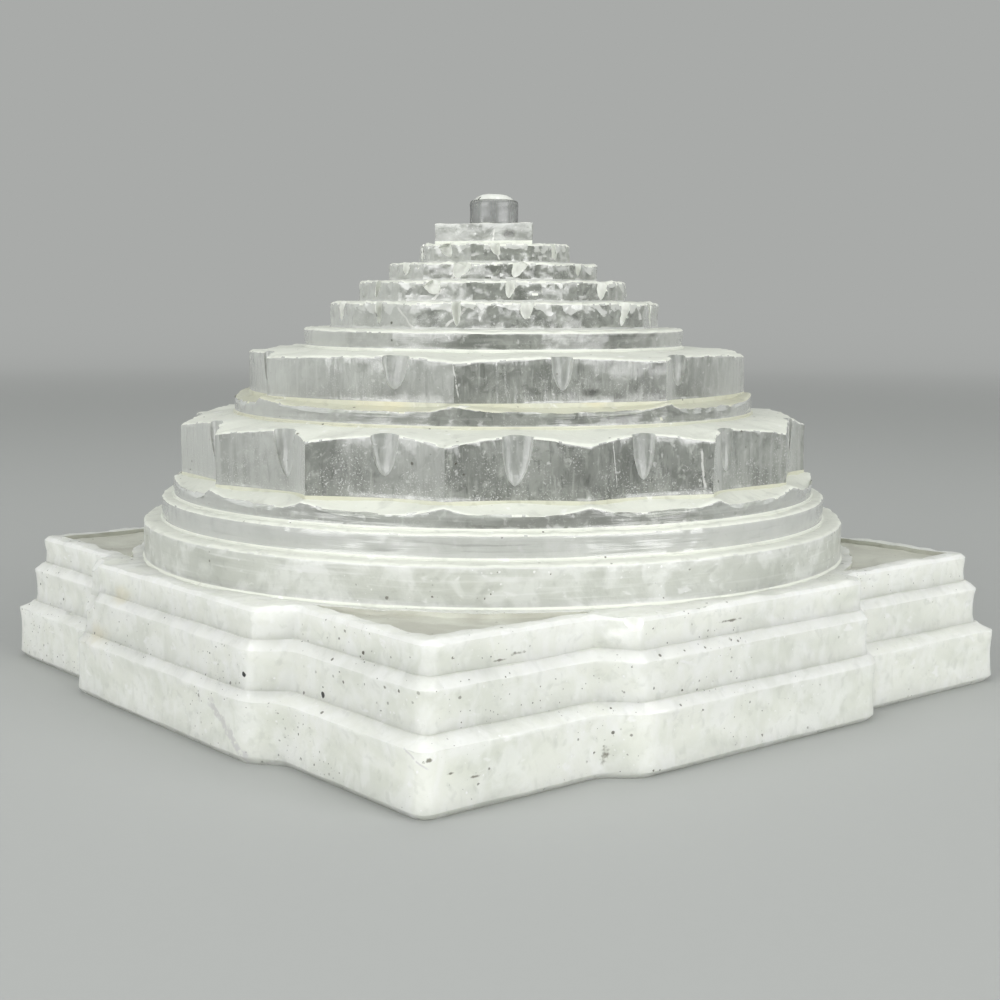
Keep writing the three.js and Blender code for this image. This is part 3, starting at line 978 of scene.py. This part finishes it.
def make_finishes(colours):
    GROUPS.update(
        veils=veil_group(),
        specks=speck_group(),
        mark=mark_group(),
        crack=crack_group(),
        drift=drift_group(),
        marks=tool_mark_group(),
        lie=edge_wear_and_highlight_group(),
    )
    around, upright, crossed = (110, 110, 2100), (2300, 2300, 420), (900, 900, 1300)
    clear = (colours.wall, colours.deep)
    ring = ((0.63, 0.65, 0.59), (0.52, 0.54, 0.485))
    milky_finish(
        colours, "milky crystal", colours.milk, colours.veil, (700, 700, 300), 0.7, 0.15
    )
    milky_finish(colours, "lower_ring wall", *ring, around, 0.2, 0.25)
    cloudy = ((0.93, 0.95, 0.90), (0.76, 0.78, 0.73))
    smoky = ((0.58, 0.60, 0.56), (0.31, 0.32, 0.29))
    for node, tints, stretch, *rest in (
        ("middle_ring", cloudy, around, 120.0, 0.1, 0.2),
        ("upper_ring", smoky, around, 130.0, 0.2, 0.2),
        ("sixteen_petal_lotus", clear, upright, 190.0, 0.7, 0.1, PETAL_CRACKS),
        ("outer_disc", clear, around, 150.0, 0.3, 0.1),
        ("eight_petal_lotus", clear, upright, 220.0, 0.3, 0.1, PETAL_CRACKS),
        ("inner_disc", clear, around, 150.0, 0.2, 0.2),
        ("fourteen_point_tier", clear, crossed, 260.0, 0.3, 0.9, TOP_CRACKS),
        ("outer_ten_point_tier", clear, crossed, 280.0, 0.3, 0.9, TOP_CRACKS),
        ("inner_ten_point_tier", clear, crossed, 300.0, 0.3, 0.9, TOP_CRACKS),
        ("eight_point_tier", clear, crossed, 320.0, 0.3, 0.9, TOP_CRACKS),
        ("triangle_tier", clear, crossed, 340.0, 0.1, 0.5, TOP_CRACKS),
    ):
        wall_finish(colours, f"{node} wall", node, *tints, stretch, *rest)
    frosted_finish(colours, "frosted ledge", colours.frost, 0.8, 0.2)
    # Cream frost: the cream tint of the crystal there, and painted shade where a lotus foot meets
    # the tread
    frosted_finish(colours, "creamy frost", (0.66, 0.66, 0.52), 0.6, 0.2)
    frosted_finish(colours, "star scoop", (0.90, 0.915, 0.86), 0.9, 0.3)
    scoop = ((0.62, 0.64, 0.60), (0.36, 0.38, 0.35), upright, 300.0, 0.1, 0.0, (), 0.12, 0.3)
    for node, *_ in LOTUSES:
        wall_finish(colours, f"{node} scoop", node, *scoop)
    hollow_finish(colours)
    bindu_finish()
    seat_pass()


# ---------------------------------------------------------------- operators


class YANTRA_OT_finishes(bpy.types.Operator):
    """Mixes the crystal's finishes"""

    bl_idname = "yantra.finishes"
    bl_label = "Crystal finishes"

    def execute(self, context):
        make_finishes(context.scene.yantra_colours)
        return {"FINISHED"}


def gate_offset(sizes, step, side, u):
    """How far the plinth's wall stands out at a distance u along one of its sides."""
    start, end = sizes.gate_starts[side], sizes.gate_ends[side]
    jog, reach = sizes.gate_jogs[step], sizes.gate_fronts[step]
    return reach * smooth_step((u - start + jog) / jog) * smooth_step((end + jog - u) / jog)


def step_half(sizes, step):
    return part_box(STEPS[step])[1][0] - sizes.gate_fronts[step]


def side_columns(sizes, step, side, half):
    """Places of the upright cuts along a side: even ones, and closer ones down a gate's slopes."""
    start, end, jog = sizes.gate_starts[side], sizes.gate_ends[side], sizes.gate_jogs[step]
    slopes = [start - jog * k / 6 for k in range(7)] + [end + jog * k / 6 for k in range(7)]
    count = int(2 * half / sizes.column_gap)
    even = [-half + 2 * half * k / count for k in range(1, count)]
    return sorted(slopes + [u for u in even if all(abs(u - s) > 0.6 * MM for s in slopes)])


def side_turn(side):
    return Matrix.Rotation(side * math.pi / 2, 3, "Z")


def move_wall(piece, half, side, place, shift):
    """Moves the vertices of one wall that place accepts, each by shift(distance along it)."""
    turn = side_turn(side)
    back = turn.transposed()
    mesh = bmesh.from_edit_mesh(piece.data)
    steps = {}
    for vert in mesh.verts:
        here = back @ vert.co
        if place(vert.co) and here.y < -half + WELD:
            distance = shift(here.x)
            if abs(distance) > 1e-8:
                steps.setdefault(round(distance, 7), []).append(vert.index)
    for distance, numbers in steps.items():
        pick_numbers(piece, numbers)
        move(turn @ Vector((0, distance, 0)))


def build_step(step, sizes):
    """One plinth step: a block cut into columns, its gates drawn out, its ledge drawn in."""
    name = STEPS[step]
    foot, top, _ = tier_span(name)
    half = step_half(sizes, step)
    bottom = foot if step == 0 else foot - SINK
    clear_selection()
    bpy.ops.mesh.primitive_cube_add(
        size=1, location=(0, 0, (bottom + top) / 2), scale=(2 * half, 2 * half, top - bottom)
    )
    piece = settle(f"carved_{name}")
    start_edit(piece)
    for side in (0, 1):
        turn = side_turn(side)
        facing = {-u for u in side_columns(sizes, step, side + 2, half)}
        last_cut = -1.0
        for u in sorted(set(side_columns(sizes, step, side, half)) | facing):
            if u - last_cut > 0.25 * MM:
                last_cut = u
                cut(turn @ Vector((u, 0, 0)), turn @ Vector((1, 0, 0)))
    last = step == 2
    edge = top - (sizes.top_wear if last else sizes.ledge_fall)
    arris = sizes.foot_arris if step == 0 else 0.0
    heights = [bottom + arris] if arris else []
    heights += [bottom + arris + (edge - bottom - arris) * k / 4 for k in (1, 2, 3)] + [edge]
    for z in heights:
        cut((0, 0, z), (0, 0, 1))
    waist = list(zip(heights[-4:-1], (0.75, 1.0, 0.75)))
    roof_half = half - sizes.top_wear if last else step_half(sizes, step + 1) + 0.05 * MM
    roof_step = step if last else step + 1

    def stand_out(side, u):
        return gate_offset(sizes, step, side, u)

    for side in range(4):
        move_wall(piece, half, side, lambda p: True, lambda u: -stand_out(side, u))
    for side in range(4):
        if arris:
            move_wall(piece, half, side, lambda p: p.z < bottom + WELD, lambda u: arris)
        for z, share in waist:
            hollow = share * sizes.wall_hollow
            move_wall(piece, half, side, lambda p: abs(p.z - z) < WELD, lambda u: hollow)
        move_wall(
            piece, half, side, lambda p: p.z > top - WELD,
            lambda u: (half + stand_out(side, u))
            - (roof_half + gate_offset(sizes, roof_step, side, u)),
        )
    pick_upright_edges(
        piece,
        lambda line: all(
            abs(abs(v.co.x) - abs(v.co.y)) < 1e-5 and abs(v.co.x) > half - 1.6 * MM
            for v in line.verts
        ),
    )
    bpy.ops.mesh.bevel(offset=sizes.corner_round, segments=4, affect="EDGES")
    return piece, half, top


class YANTRA_OT_plinth(bpy.types.Operator):
    """Carves the plinth's three steps, their gates and the hollows in its top"""

    bl_idname = "yantra.plinth"
    bl_label = "Stepped plinth"

    def execute(self, context):
        sizes = context.scene.yantra_plinth
        milky, floor = FINISHES["milky crystal"], FINISHES["hollow floor"]
        for step, node in enumerate(STEPS):
            piece, half, top = build_step(step, sizes)
            clear_selection()
            piece.data.materials.append(milky)
            if step == 2:
                carve(piece, self.hollow_cutter(sizes, half, top, floor))
            carve(piece, self.chip_cutters(step))
            ease_edges(piece, 0.12 * MM, 24)
            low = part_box(node)[0][2]
            self.grid_cuts(piece, half + 4 * MM, low, top, 0.8 * MM, 0.6 * MM)
            soften(piece, 5, lambda p: p.z > low + 0.5 * MM)
            brow = top - 1.2 * MM
            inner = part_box("lower_ring")[1][0] + 0.6 * MM

            def ledge(p):
                return p.z > brow and (
                    math.hypot(p.x, p.y) > inner if step == 2 else p.z < top - 0.12 * MM
                )

            def above_foot(p):
                return p.z > low + 0.05 * MM

            undulate(piece, f"broad wear {step}", 9 * MM, 0.3 * MM, above_foot)
            undulate(piece, f"ledge wear {step}", 3.2 * MM, sizes.ledge_wear, ledge)
            undulate(piece, f"fine wear {step}", 1.6 * MM, 0.12 * MM, above_foot)
            dress(piece, self.finish_for(step, low, top, half, milky, floor))
            finish_piece(piece, [node], 32)
        return {"FINISHED"}

    def grid_cuts(self, piece, reach, low, top, gap, rise):
        """Finer faces all over a step, so that wear can be worked into them."""
        start_edit(piece)
        for k in range(1, int(2 * reach / gap)):
            cut((k * gap - reach, 0, 0), (1, 0, 0))
            cut((0, k * gap - reach, 0), (0, 1, 0))
        for k in range(int((top - low) / rise)):
            cut((0, 0, low + k * rise), (0, 0, 1))
        clear_selection()

    def chip_cutters(self, step):
        """Flattened balls where flakes have come off this step's edges."""
        hand = random.Random(31 + step)
        balls = []
        for number, place, reach, flat in CHIPS:
            if number == step:
                clear_selection()
                bpy.ops.mesh.primitive_ico_sphere_add(
                    subdivisions=4, radius=reach * MM, location=[v * MM for v in place],
                    rotation=[hand.uniform(0, math.pi) for _ in range(3)],
                    scale=(1.0, min(1.0, flat + 0.35), flat),
                )
                balls.append(settle("chip"))
                balls[-1].data.materials.append(FINISHES["milky crystal"])
        return join(balls)

    def finish_for(self, step, low, top, half, milky, floor):
        """Milky outside, with the seats that the next tier hides left to pass light."""
        joint = FINISHES["hidden seat"]
        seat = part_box("lower_ring")[1][0] - 0.3 * MM

        def choose(centre, normal, now, corners):
            if step > 0 and underside(centre, normal, low):
                return joint
            if normal.z > 0.8 and centre.z > top - 0.5 * MM and now != floor.name:
                flat = all(max(abs(p.x), abs(p.y)) < half - 2.5 * MM for p in corners)
                if (step < 2 and flat) or all_within(corners, seat):
                    return joint
            return FINISHES.get(now, milky)

        return choose

    def hollow_cutter(self, sizes, half, top, finish):
        """A block less a drum: what is left stands over the four corners."""
        side = half - sizes.top_wear - sizes.hollow_border
        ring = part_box("lower_ring")[1][0] + sizes.hollow_border
        clear_selection()
        bpy.ops.mesh.primitive_cube_add(
            size=1, location=(0, 0, top), scale=(2 * side, 2 * side, 2 * sizes.hollow_depth)
        )
        block = settle("hollow_block")
        start_edit(block)
        pick_upright_edges(block)
        bpy.ops.mesh.bevel(offset=1.2 * MM, segments=4, affect="EDGES")
        clear_selection()
        block.data.materials.append(finish)
        bpy.ops.mesh.primitive_cylinder_add(
            vertices=180, radius=ring, depth=0.01, location=(0, 0, top)
        )
        drum = settle("hollow_drum")
        drum.data.materials.append(finish)
        carve(block, drum)
        return block


def sides_for(radius, segment):
    return max(240, 8 * round(math.tau * radius / segment / 8))


def no_wave(azimuth):
    """The share to read on a tier that is plain all round."""
    return 0.0


def wave_tier(name, profile, share_at, fall, wear, sag, segment, levels=24):
    """Round tier from rows of (height, radius, draw, drop), waved from each tip to each groove.

    Between two tips the wall draws in by fall and the rim sags; at a tip the rim wears down."""
    drum = raise_drum(name, [row[:2] for row in profile], sides_for(profile[0][1], segment))
    mesh = bmesh.from_edit_mesh(drum.data)
    groups = {}
    for vert in mesh.verts:
        reach = math.hypot(vert.co.x, vert.co.y)
        row = min(profile, key=lambda r: abs(r[0] - vert.co.z) + abs(r[1] - reach))
        if row[2] or row[3]:
            share = round(share_at(math.atan2(vert.co.y, vert.co.x)) * levels)
            groups.setdefault((*row[1:], share), []).append(vert.index)
    for (radius, draw, drop, share), numbers in groups.items():
        towards = share / levels
        flute = 1 - (1 - towards) ** 2
        down = drop * (wear * (1 - towards) ** 1.6 + sag * flute)
        pick_numbers(drum, numbers)
        if draw * flute > 0:
            widen(1 - fall * draw * flute / radius)
        if down > 1e-7:
            move((0, 0, -down))
    clear_selection()
    return drum


def wear_down(piece, name, foot, top, inner, broad, rim, fine):
    """Broad, rim and fine unevenness of a hand-worked tier: each a (size, depth) in metres."""

    def above_foot(p):
        return p.z > foot + 0.05 * MM

    def near_rim(p):
        return p.z > top - 1.5 * MM and math.hypot(p.x, p.y) > inner

    undulate(piece, f"broad wear {name}", *broad, above_foot)
    undulate(piece, f"rim wear {name}", *rim, near_rim)
    undulate(piece, f"fine wear {name}", *fine, above_foot)


def rim_rows(wall, radius, arris):
    """Rows that carry a wall's head round its worn arris on to the tread."""
    turns = [math.radians(90 * k / 4) for k in range(5)]
    return [
        (wall + arris * math.sin(turn), radius - arris * (1 - math.cos(turn)), 1.0, 1.0)
        for turn in turns
    ]


def plain_profile(foot, top, radius, seat, rim_fall, sizes):
    """Rows of a plain round tier, from its sunk foot to the seat on its tread."""
    rim = top - rim_fall
    wall = rim - sizes.arris
    low = foot + sizes.fillet
    tread = radius - sizes.arris
    rows = [
        (foot - SINK, radius + sizes.fillet, 0.0, 0.0),
        (foot, radius + sizes.fillet, 0.0, 0.0),
        (foot + 0.3 * sizes.fillet, radius + 0.4 * sizes.fillet, 0.0, 0.0),
        (low, radius, 0.0, 0.0),
    ]
    rows += [(low + (wall - low) * k / 6, radius, 0.0, 0.15 * (k == 5)) for k in range(1, 6)]
    return rows + rim_rows(wall, radius, sizes.arris) + [
        (rim + 0.33 * rim_fall, tread * 0.67 + seat * 0.33, 0.0, 0.67),
        (rim + 0.67 * rim_fall, tread * 0.33 + seat * 0.67, 0.0, 0.33),
        (top, seat, 0.0, 0.0),
    ]


class YANTRA_OT_plain_tiers(bpy.types.Operator):
    """Turns the plain rings and discs, with a fillet at the foot and a worn rim"""

    bl_idname = "yantra.plain_tiers"
    bl_label = "Plain rings and discs"

    def execute(self, context):
        sizes = context.scene.yantra_round
        for number, (node, carried, slot, petals) in enumerate(PLAIN_TIERS):
            # The outer disc's tread takes the cream frost, with its painted shade at the lotus foot
            ledge = FINISHES["creamy frost" if node == "outer_disc" else "frosted ledge"]
            wall = FINISHES[f"{node} wall"]
            foot, top, radius = tier_span(node)
            tread = radius - sizes.arris
            share_at, sag = no_wave, 0.0
            seat = min(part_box(carried)[1][0] - 0.5 * MM, tread - 0.3 * MM)
            if petals:
                tips, grooves, count = petals
                share_at = share_reader(fill_round(tips, count), fill_round(grooves, count))
                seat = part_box(carried)[1][0] - 2.6 * MM
                sag = sizes.tread_sag
            profile = plain_profile(foot, top, radius, seat, sizes.rim_falls[number], sizes)
            piece = wave_tier(f"turned_{node}", profile, share_at, 0.0, 0.0, sag, sizes.segment)
            wear_down(
                piece, node, foot, top, tread - 0.6 * MM,
                (7 * MM, 0.16 * MM), (2.4 * MM, sizes.rim_wear), (0.9 * MM, 0.08 * MM),
            )
            level = foot + 0.5 * MM
            hidden = seat - 0.4 * MM
            dress(piece, seat_finish(foot, top, hidden, wall, ledge, (), level, sizes.fillet))
            finish_piece(piece, [node], 34)
        return {"FINISHED"}


def petal_profile(node, tip, seat, flare, flare_height, tread_fall, arris):
    """Rows of a petalled tier, from its sunk foot to the seat on its tread."""
    foot, top, _ = tier_span(node)
    brow = top - tread_fall
    edge = brow - arris
    wall_foot = foot + flare_height
    tread = tip - arris
    rows = [
        (foot - SINK, tip + flare, 1.0, 0.0),
        (foot, tip + flare, 1.0, 0.0),
        (foot + 0.4 * flare_height, tip + 0.4 * flare, 1.0, 0.0),
        (wall_foot, tip, 1.0, 0.0),
    ]
    rise = edge - wall_foot
    rows += [(wall_foot + rise * k / 7, tip, 1.0, 0.12 * (k == 6)) for k in range(1, 7)]
    rows += rim_rows(edge, tip, arris) + [
        (brow + 0.34 * tread_fall, tread * 0.67 + seat * 0.33, 0.67, 0.67),
        (brow + 0.67 * tread_fall, tread * 0.33 + seat * 0.67, 0.33, 0.33),
        (top, seat, 0.0, 0.0),
    ]
    return rows, foot, top, edge, brow, wall_foot


def carve_pointed_tier(
    node, rounds, tip, seat, flare, flare_height, tread_fall, tips, grooves, fall, wear, levels,
    scoop, hand, width, depth, spread, inner, wears, hidden, low=None,
):
    """Lotus or star: a waved drum with a scoop ground at each groove, then worn and dressed."""
    wall, ledge = FINISHES[f"{node} wall"], FINISHES["frosted ledge"]
    profile, foot, top, edge, brow, wall_foot = petal_profile(
        node, tip, seat, flare, flare_height, tread_fall, rounds.arris
    )
    share_at = share_reader(tips, grooves)
    drum = wave_tier(
        f"carved_{node}", profile, share_at, fall, wear, 0.0, rounds.segment, levels
    )
    drum.data.materials.append(wall)
    places = []
    for azimuth in grooves:
        wide, deep, down, lean = [hand.uniform(*reach) for reach in spread]
        start = edge - (edge - wall_foot) * down
        places.append(
            (azimuth, tip - fall, start, brow, width * wide, depth * deep, math.radians(lean))
        )
    grind_scoops(drum, places, scoop)
    wear_down(drum, node, foot, top, inner, *wears)
    level = wall_foot + 0.5 * MM
    dress(drum, seat_finish(foot, top, hidden, wall, ledge, (scoop.name,), level, low=low))
    finish_piece(drum, [node], 26)


class YANTRA_OT_lotuses(bpy.types.Operator):
    """Carves the two lotuses, with a leaf-shaped groove between each two petals"""

    bl_idname = "yantra.lotuses"
    bl_label = "Lotuses"

    def execute(self, context):
        sizes, rounds = context.scene.yantra_lotus, context.scene.yantra_round
        for number, (node, carried, count, tips, grooves) in enumerate(LOTUSES):
            fall = sizes.falls[number]
            tip = tier_span(node)[2] - sizes.insets[number]
            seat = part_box(carried)[1][0] - 0.5 * MM
            carve_pointed_tier(
                node, rounds, tip, seat, sizes.flares[number], sizes.flare_heights[number],
                sizes.tread_fall, fill_round(tips, count), fill_round(grooves, count), fall,
                sizes.wears[number], 24, FINISHES[f"{node} scoop"], random.Random(5 + number),
                sizes.groove_width, sizes.groove_depth, LOTUS_SPREAD,
                inner=tip - fall - 0.6 * MM,
                wears=((5 * MM, 0.16 * MM), (1.6 * MM, rounds.rim_wear), (0.8 * MM, 0.08 * MM)),
                hidden=seat - 0.3 * MM,
                # Lotus feet take the cream frost, with its painted shade at the foot
                low=FINISHES["creamy frost"],
            )
        return {"FINISHED"}


class YANTRA_OT_stars(bpy.types.Operator):
    """Carves the star tiers, with a scooped notch between each two points"""

    bl_idname = "yantra.stars"
    bl_label = "Star tiers"

    def execute(self, context):
        sizes, rounds = context.scene.yantra_star, context.scene.yantra_round
        for number, (node, points, seen) in enumerate(STAR_TIERS):
            notches = fill_round(seen, points)
            seat = (sizes.tips[number + 1] if number < 3 else 0.0036) - 0.9 * MM
            carve_pointed_tier(
                node, rounds, sizes.tips[number], seat, 0.15 * MM, 0.2 * MM, 0.0,
                between(notches), notches, sizes.fall, 0.1 * MM, 12, FINISHES["star scoop"],
                random.Random(21 + number), sizes.notch_width, sizes.notch_depth, STAR_SPREAD,
                inner=seat + 0.9 * MM,
                wears=((3 * MM, 0.2 * MM), (1.1 * MM, sizes.rim_wear), (0.6 * MM, 0.12 * MM)),
                hidden=seat - 0.2 * MM,
            )
        return {"FINISHED"}


class YANTRA_OT_summit(bpy.types.Operator):
    """Carves the innermost triangle and the bindu on it"""

    bl_idname = "yantra.summit"
    bl_label = "Triangle and bindu"

    def execute(self, context):
        self.triangle(context.scene.yantra_star)
        self.bindu(context.scene.yantra_star)
        return {"FINISHED"}

    def triangle(self, sizes):
        foot, top, _ = tier_span("triangle_tier")
        clear_selection()
        bpy.ops.mesh.primitive_cylinder_add(
            vertices=3, radius=sizes.triangle, depth=top - foot + SINK,
            location=(0, 0, (top + foot - SINK) / 2), rotation=(0, 0, math.pi),
        )
        piece = settle("carved_triangle_tier")
        start_edit(piece)
        pick_upright_edges(piece)
        bpy.ops.mesh.bevel(offset=0.8 * MM, segments=4, affect="EDGES")
        for k in range(-12, 13):
            cut((k * 0.5 * MM, 0, 0), (1, 0, 0))
            cut((0, k * 0.5 * MM, 0), (0, 1, 0))
        for k in (1, 2, 3, 4, 5):
            cut((0, 0, foot + (top - foot) * k / 6), (0, 0, 1))
        ease_edges(piece, 0.2 * MM, 35, 3)
        for name, size, depth in (("wear", 2.2, 0.3), ("rim", 0.9, 0.14)):
            undulate(
                piece, f"triangle {name}", size * MM, depth * MM, lambda p: p.z > foot + 0.05 * MM
            )
        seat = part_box("bindu")[1][0] - 0.3 * MM
        wall, ledge = FINISHES["triangle_tier wall"], FINISHES["frosted ledge"]
        dress(piece, seat_finish(foot, top, seat, wall, ledge))
        finish_piece(piece, ["triangle_tier"], 30)

    def bindu(self, sizes):
        foot, top, radius = tier_span("bindu")
        shoulder = top - sizes.crown
        profile = [
            (foot - SINK, radius * 0.96),
            (foot, radius * 0.96),
            (foot + 0.12 * MM, radius),
            ((2 * foot + shoulder) / 3, radius * 0.985),
            ((foot + 2 * shoulder) / 3, radius * 0.985),
            (shoulder - 0.45 * MM, radius),
            (shoulder - 0.2 * MM, radius - 0.06 * MM),
            (shoulder - 0.05 * MM, radius - 0.2 * MM),
            (shoulder + 0.02 * MM, radius - 0.45 * MM),
            (shoulder + 0.30 * MM, radius * 0.7),
            (shoulder + 0.58 * MM, radius * 0.5),
            (top - 0.02 * MM, radius * 0.28),
            (top, radius * 0.04),
        ]
        piece = raise_drum("turned_bindu", profile, 96)
        clear_selection()
        undulate(piece, "bindu wear", 2.0 * MM, 0.16 * MM, lambda p: p.z > foot + 0.05 * MM)

        def choose(centre, normal, now, corners):
            if underside(centre, normal, foot):
                return FINISHES["hidden seat"]
            crown = normal.z > 0.72 and centre.z > shoulder + 0.1 * MM
            return FINISHES["star scoop" if crown else "bindu crystal"]

        dress(piece, choose)
        finish_piece(piece, ["bindu"], 40)


class YANTRA_OT_stage(bpy.types.Operator):
    """Sets the pale light tent, the soft lamps and the camera"""

    bl_idname = "yantra.stage"
    bl_label = "Stage, lamps and camera"

    def execute(self, context):
        self.tent(context.scene.yantra_colours)
        self.lamps()
        self.camera(context.scene)
        context.scene.view_settings.view_transform = "Standard"
        return {"FINISHED"}

    def tent(self, colours):
        clear_selection()
        bpy.ops.mesh.primitive_cylinder_add(
            vertices=96, radius=1.4, depth=1.3, location=(0, 0, 0.65)
        )
        tent = settle("studio_tent")
        start_edit(tent)
        pick(tent, lambda p: p.z > 1.0)
        bpy.ops.mesh.delete(type="ONLY_FACE")
        pick(tent, lambda p: p.z < 0.1)
        bpy.ops.mesh.region_to_loop()
        bpy.ops.mesh.bevel(offset=0.6, segments=12, affect="EDGES")
        bpy.ops.mesh.select_all(action="SELECT")
        bpy.ops.mesh.normals_make_consistent(inside=True)
        select_piece(tent)
        bpy.ops.object.shade_smooth_by_angle(angle=math.radians(40))
        tent.data.materials.append(self.paper(colours.floor))
        world = bpy.data.worlds.new("soft room")
        bpy.context.scene.world = world
        world.use_nodes = True
        air = world.node_tree.nodes["Background"]
        air.inputs["Color"].default_value = (0.98, 1.0, 0.985, 1)
        air.inputs["Strength"].default_value = 0.7

    def paper(self, floor):
        """Pale paper that keeps the yantra's shadow and stays plain far behind it."""
        material = bpy.data.materials.new("studio paper")
        material.use_nodes = True
        tree = material.node_tree
        shader = tree.nodes["Principled BSDF"]
        place = object_place(tree)
        tone = blend(place.noise(900.0), scaled(floor, 0.985), tuple(floor))
        feed(shader.inputs["Base Color"], tone)
        shader.inputs["Roughness"].default_value = 0.85
        # Far from the yantra the paper is seen in its plain colour, straight, in gloss and
        # through crystal
        glow = add_node(tree, "ShaderNodeEmission", Color=tone, Strength=1.0)
        rays = add_node(tree, "ShaderNodeLightPath")
        seen = rays[0].sum("MAXIMUM", rays["Is Camera Ray"], rays["Is Glossy Ray"])
        seen = seen.sum("MAXIMUM", seen, rays["Is Transmission Ray"])
        share = place.length().ramp(0.25, 1.0) * seen
        shine = Wire(tree, shader.outputs[0])
        mix = add_node(tree, "ShaderNodeMixShader", i0=share, i1=shine, i2=glow[0])
        feed(tree.nodes["Material Output"].inputs["Surface"], mix[0])
        return material

    def lamps(self):
        for name, place, size, power in LAMPS:
            lamp = bpy.data.lights.new(name, "AREA")
            lamp.energy = power
            lamp.size = size
            stand = bpy.data.objects.new(name, lamp)
            bpy.context.scene.collection.objects.link(stand)
            stand.location = place
            aim = Vector((0, 0, 0.02)) - Vector(place)
            stand.rotation_mode = "QUATERNION"
            stand.rotation_quaternion = aim.to_track_quat("-Z", "Y")

    def camera(self, scene):
        heading, pitch, roll = (math.radians(a) for a in CAMERA_TURNS)
        level_x, level_y = math.cos(heading), math.sin(heading)
        ahead = Vector((level_x * math.cos(pitch), level_y * math.cos(pitch), -math.sin(pitch)))
        level = Vector((level_y, -level_x, 0))
        upright = level.cross(ahead)
        right = level * math.cos(roll) + upright * math.sin(roll)
        up = upright * math.cos(roll) - level * math.sin(roll)
        lens = bpy.data.cameras.new("camera")
        lens.sensor_width = 36
        lens.lens = LENS
        lens.clip_start = 0.01
        view = bpy.data.objects.new("camera", lens)
        scene.collection.objects.link(view)
        turn = Matrix((right, up, -ahead)).transposed().to_4x4()
        view.matrix_world = Matrix.Translation(CAMERA_PLACE) @ turn
        scene.camera = view


class YANTRA_PT_sidebar(bpy.types.Panel):
    """Lists the yantra's pieces and their sizes"""

    bl_idname = "YANTRA_PT_sidebar"
    bl_label = "Shri yantra"
    bl_space_type = "VIEW_3D"
    bl_region_type = "UI"
    bl_category = "Yantra"

    def draw(self, context):
        for kind in OPERATORS:
            self.layout.operator(kind.bl_idname)
        for name in SETTINGS:
            box = self.layout.box()
            group = getattr(context.scene, name)
            for key in group.__annotations__:
                box.prop(group, key)


SETTINGS = {
    "yantra_plinth": PlinthSizes,
    "yantra_round": RoundSizes,
    "yantra_lotus": LotusSizes,
    "yantra_star": StarSizes,
    "yantra_colours": CrystalColours,
}
OPERATORS = (
    YANTRA_OT_finishes,
    YANTRA_OT_plinth,
    YANTRA_OT_plain_tiers,
    YANTRA_OT_lotuses,
    YANTRA_OT_stars,
    YANTRA_OT_summit,
    YANTRA_OT_stage,
)
CLASSES = (*SETTINGS.values(), *OPERATORS, YANTRA_PT_sidebar)


def register():
    for kind in CLASSES:
        bpy.utils.register_class(kind)
    for name, kind in SETTINGS.items():
        setattr(bpy.types.Scene, name, PointerProperty(type=kind))


def unregister():
    for name in SETTINGS:
        delattr(bpy.types.Scene, name)
    for kind in reversed(CLASSES):
        bpy.utils.unregister_class(kind)


def main():
    register()
    bpy.ops.yantra.finishes()
    bpy.ops.yantra.plinth()
    bpy.ops.yantra.plain_tiers()
    bpy.ops.yantra.lotuses()
    bpy.ops.yantra.stars()
    bpy.ops.yantra.summit()
    bpy.ops.yantra.stage()
    clear_selection()


if __name__ == "__main__":
    main()
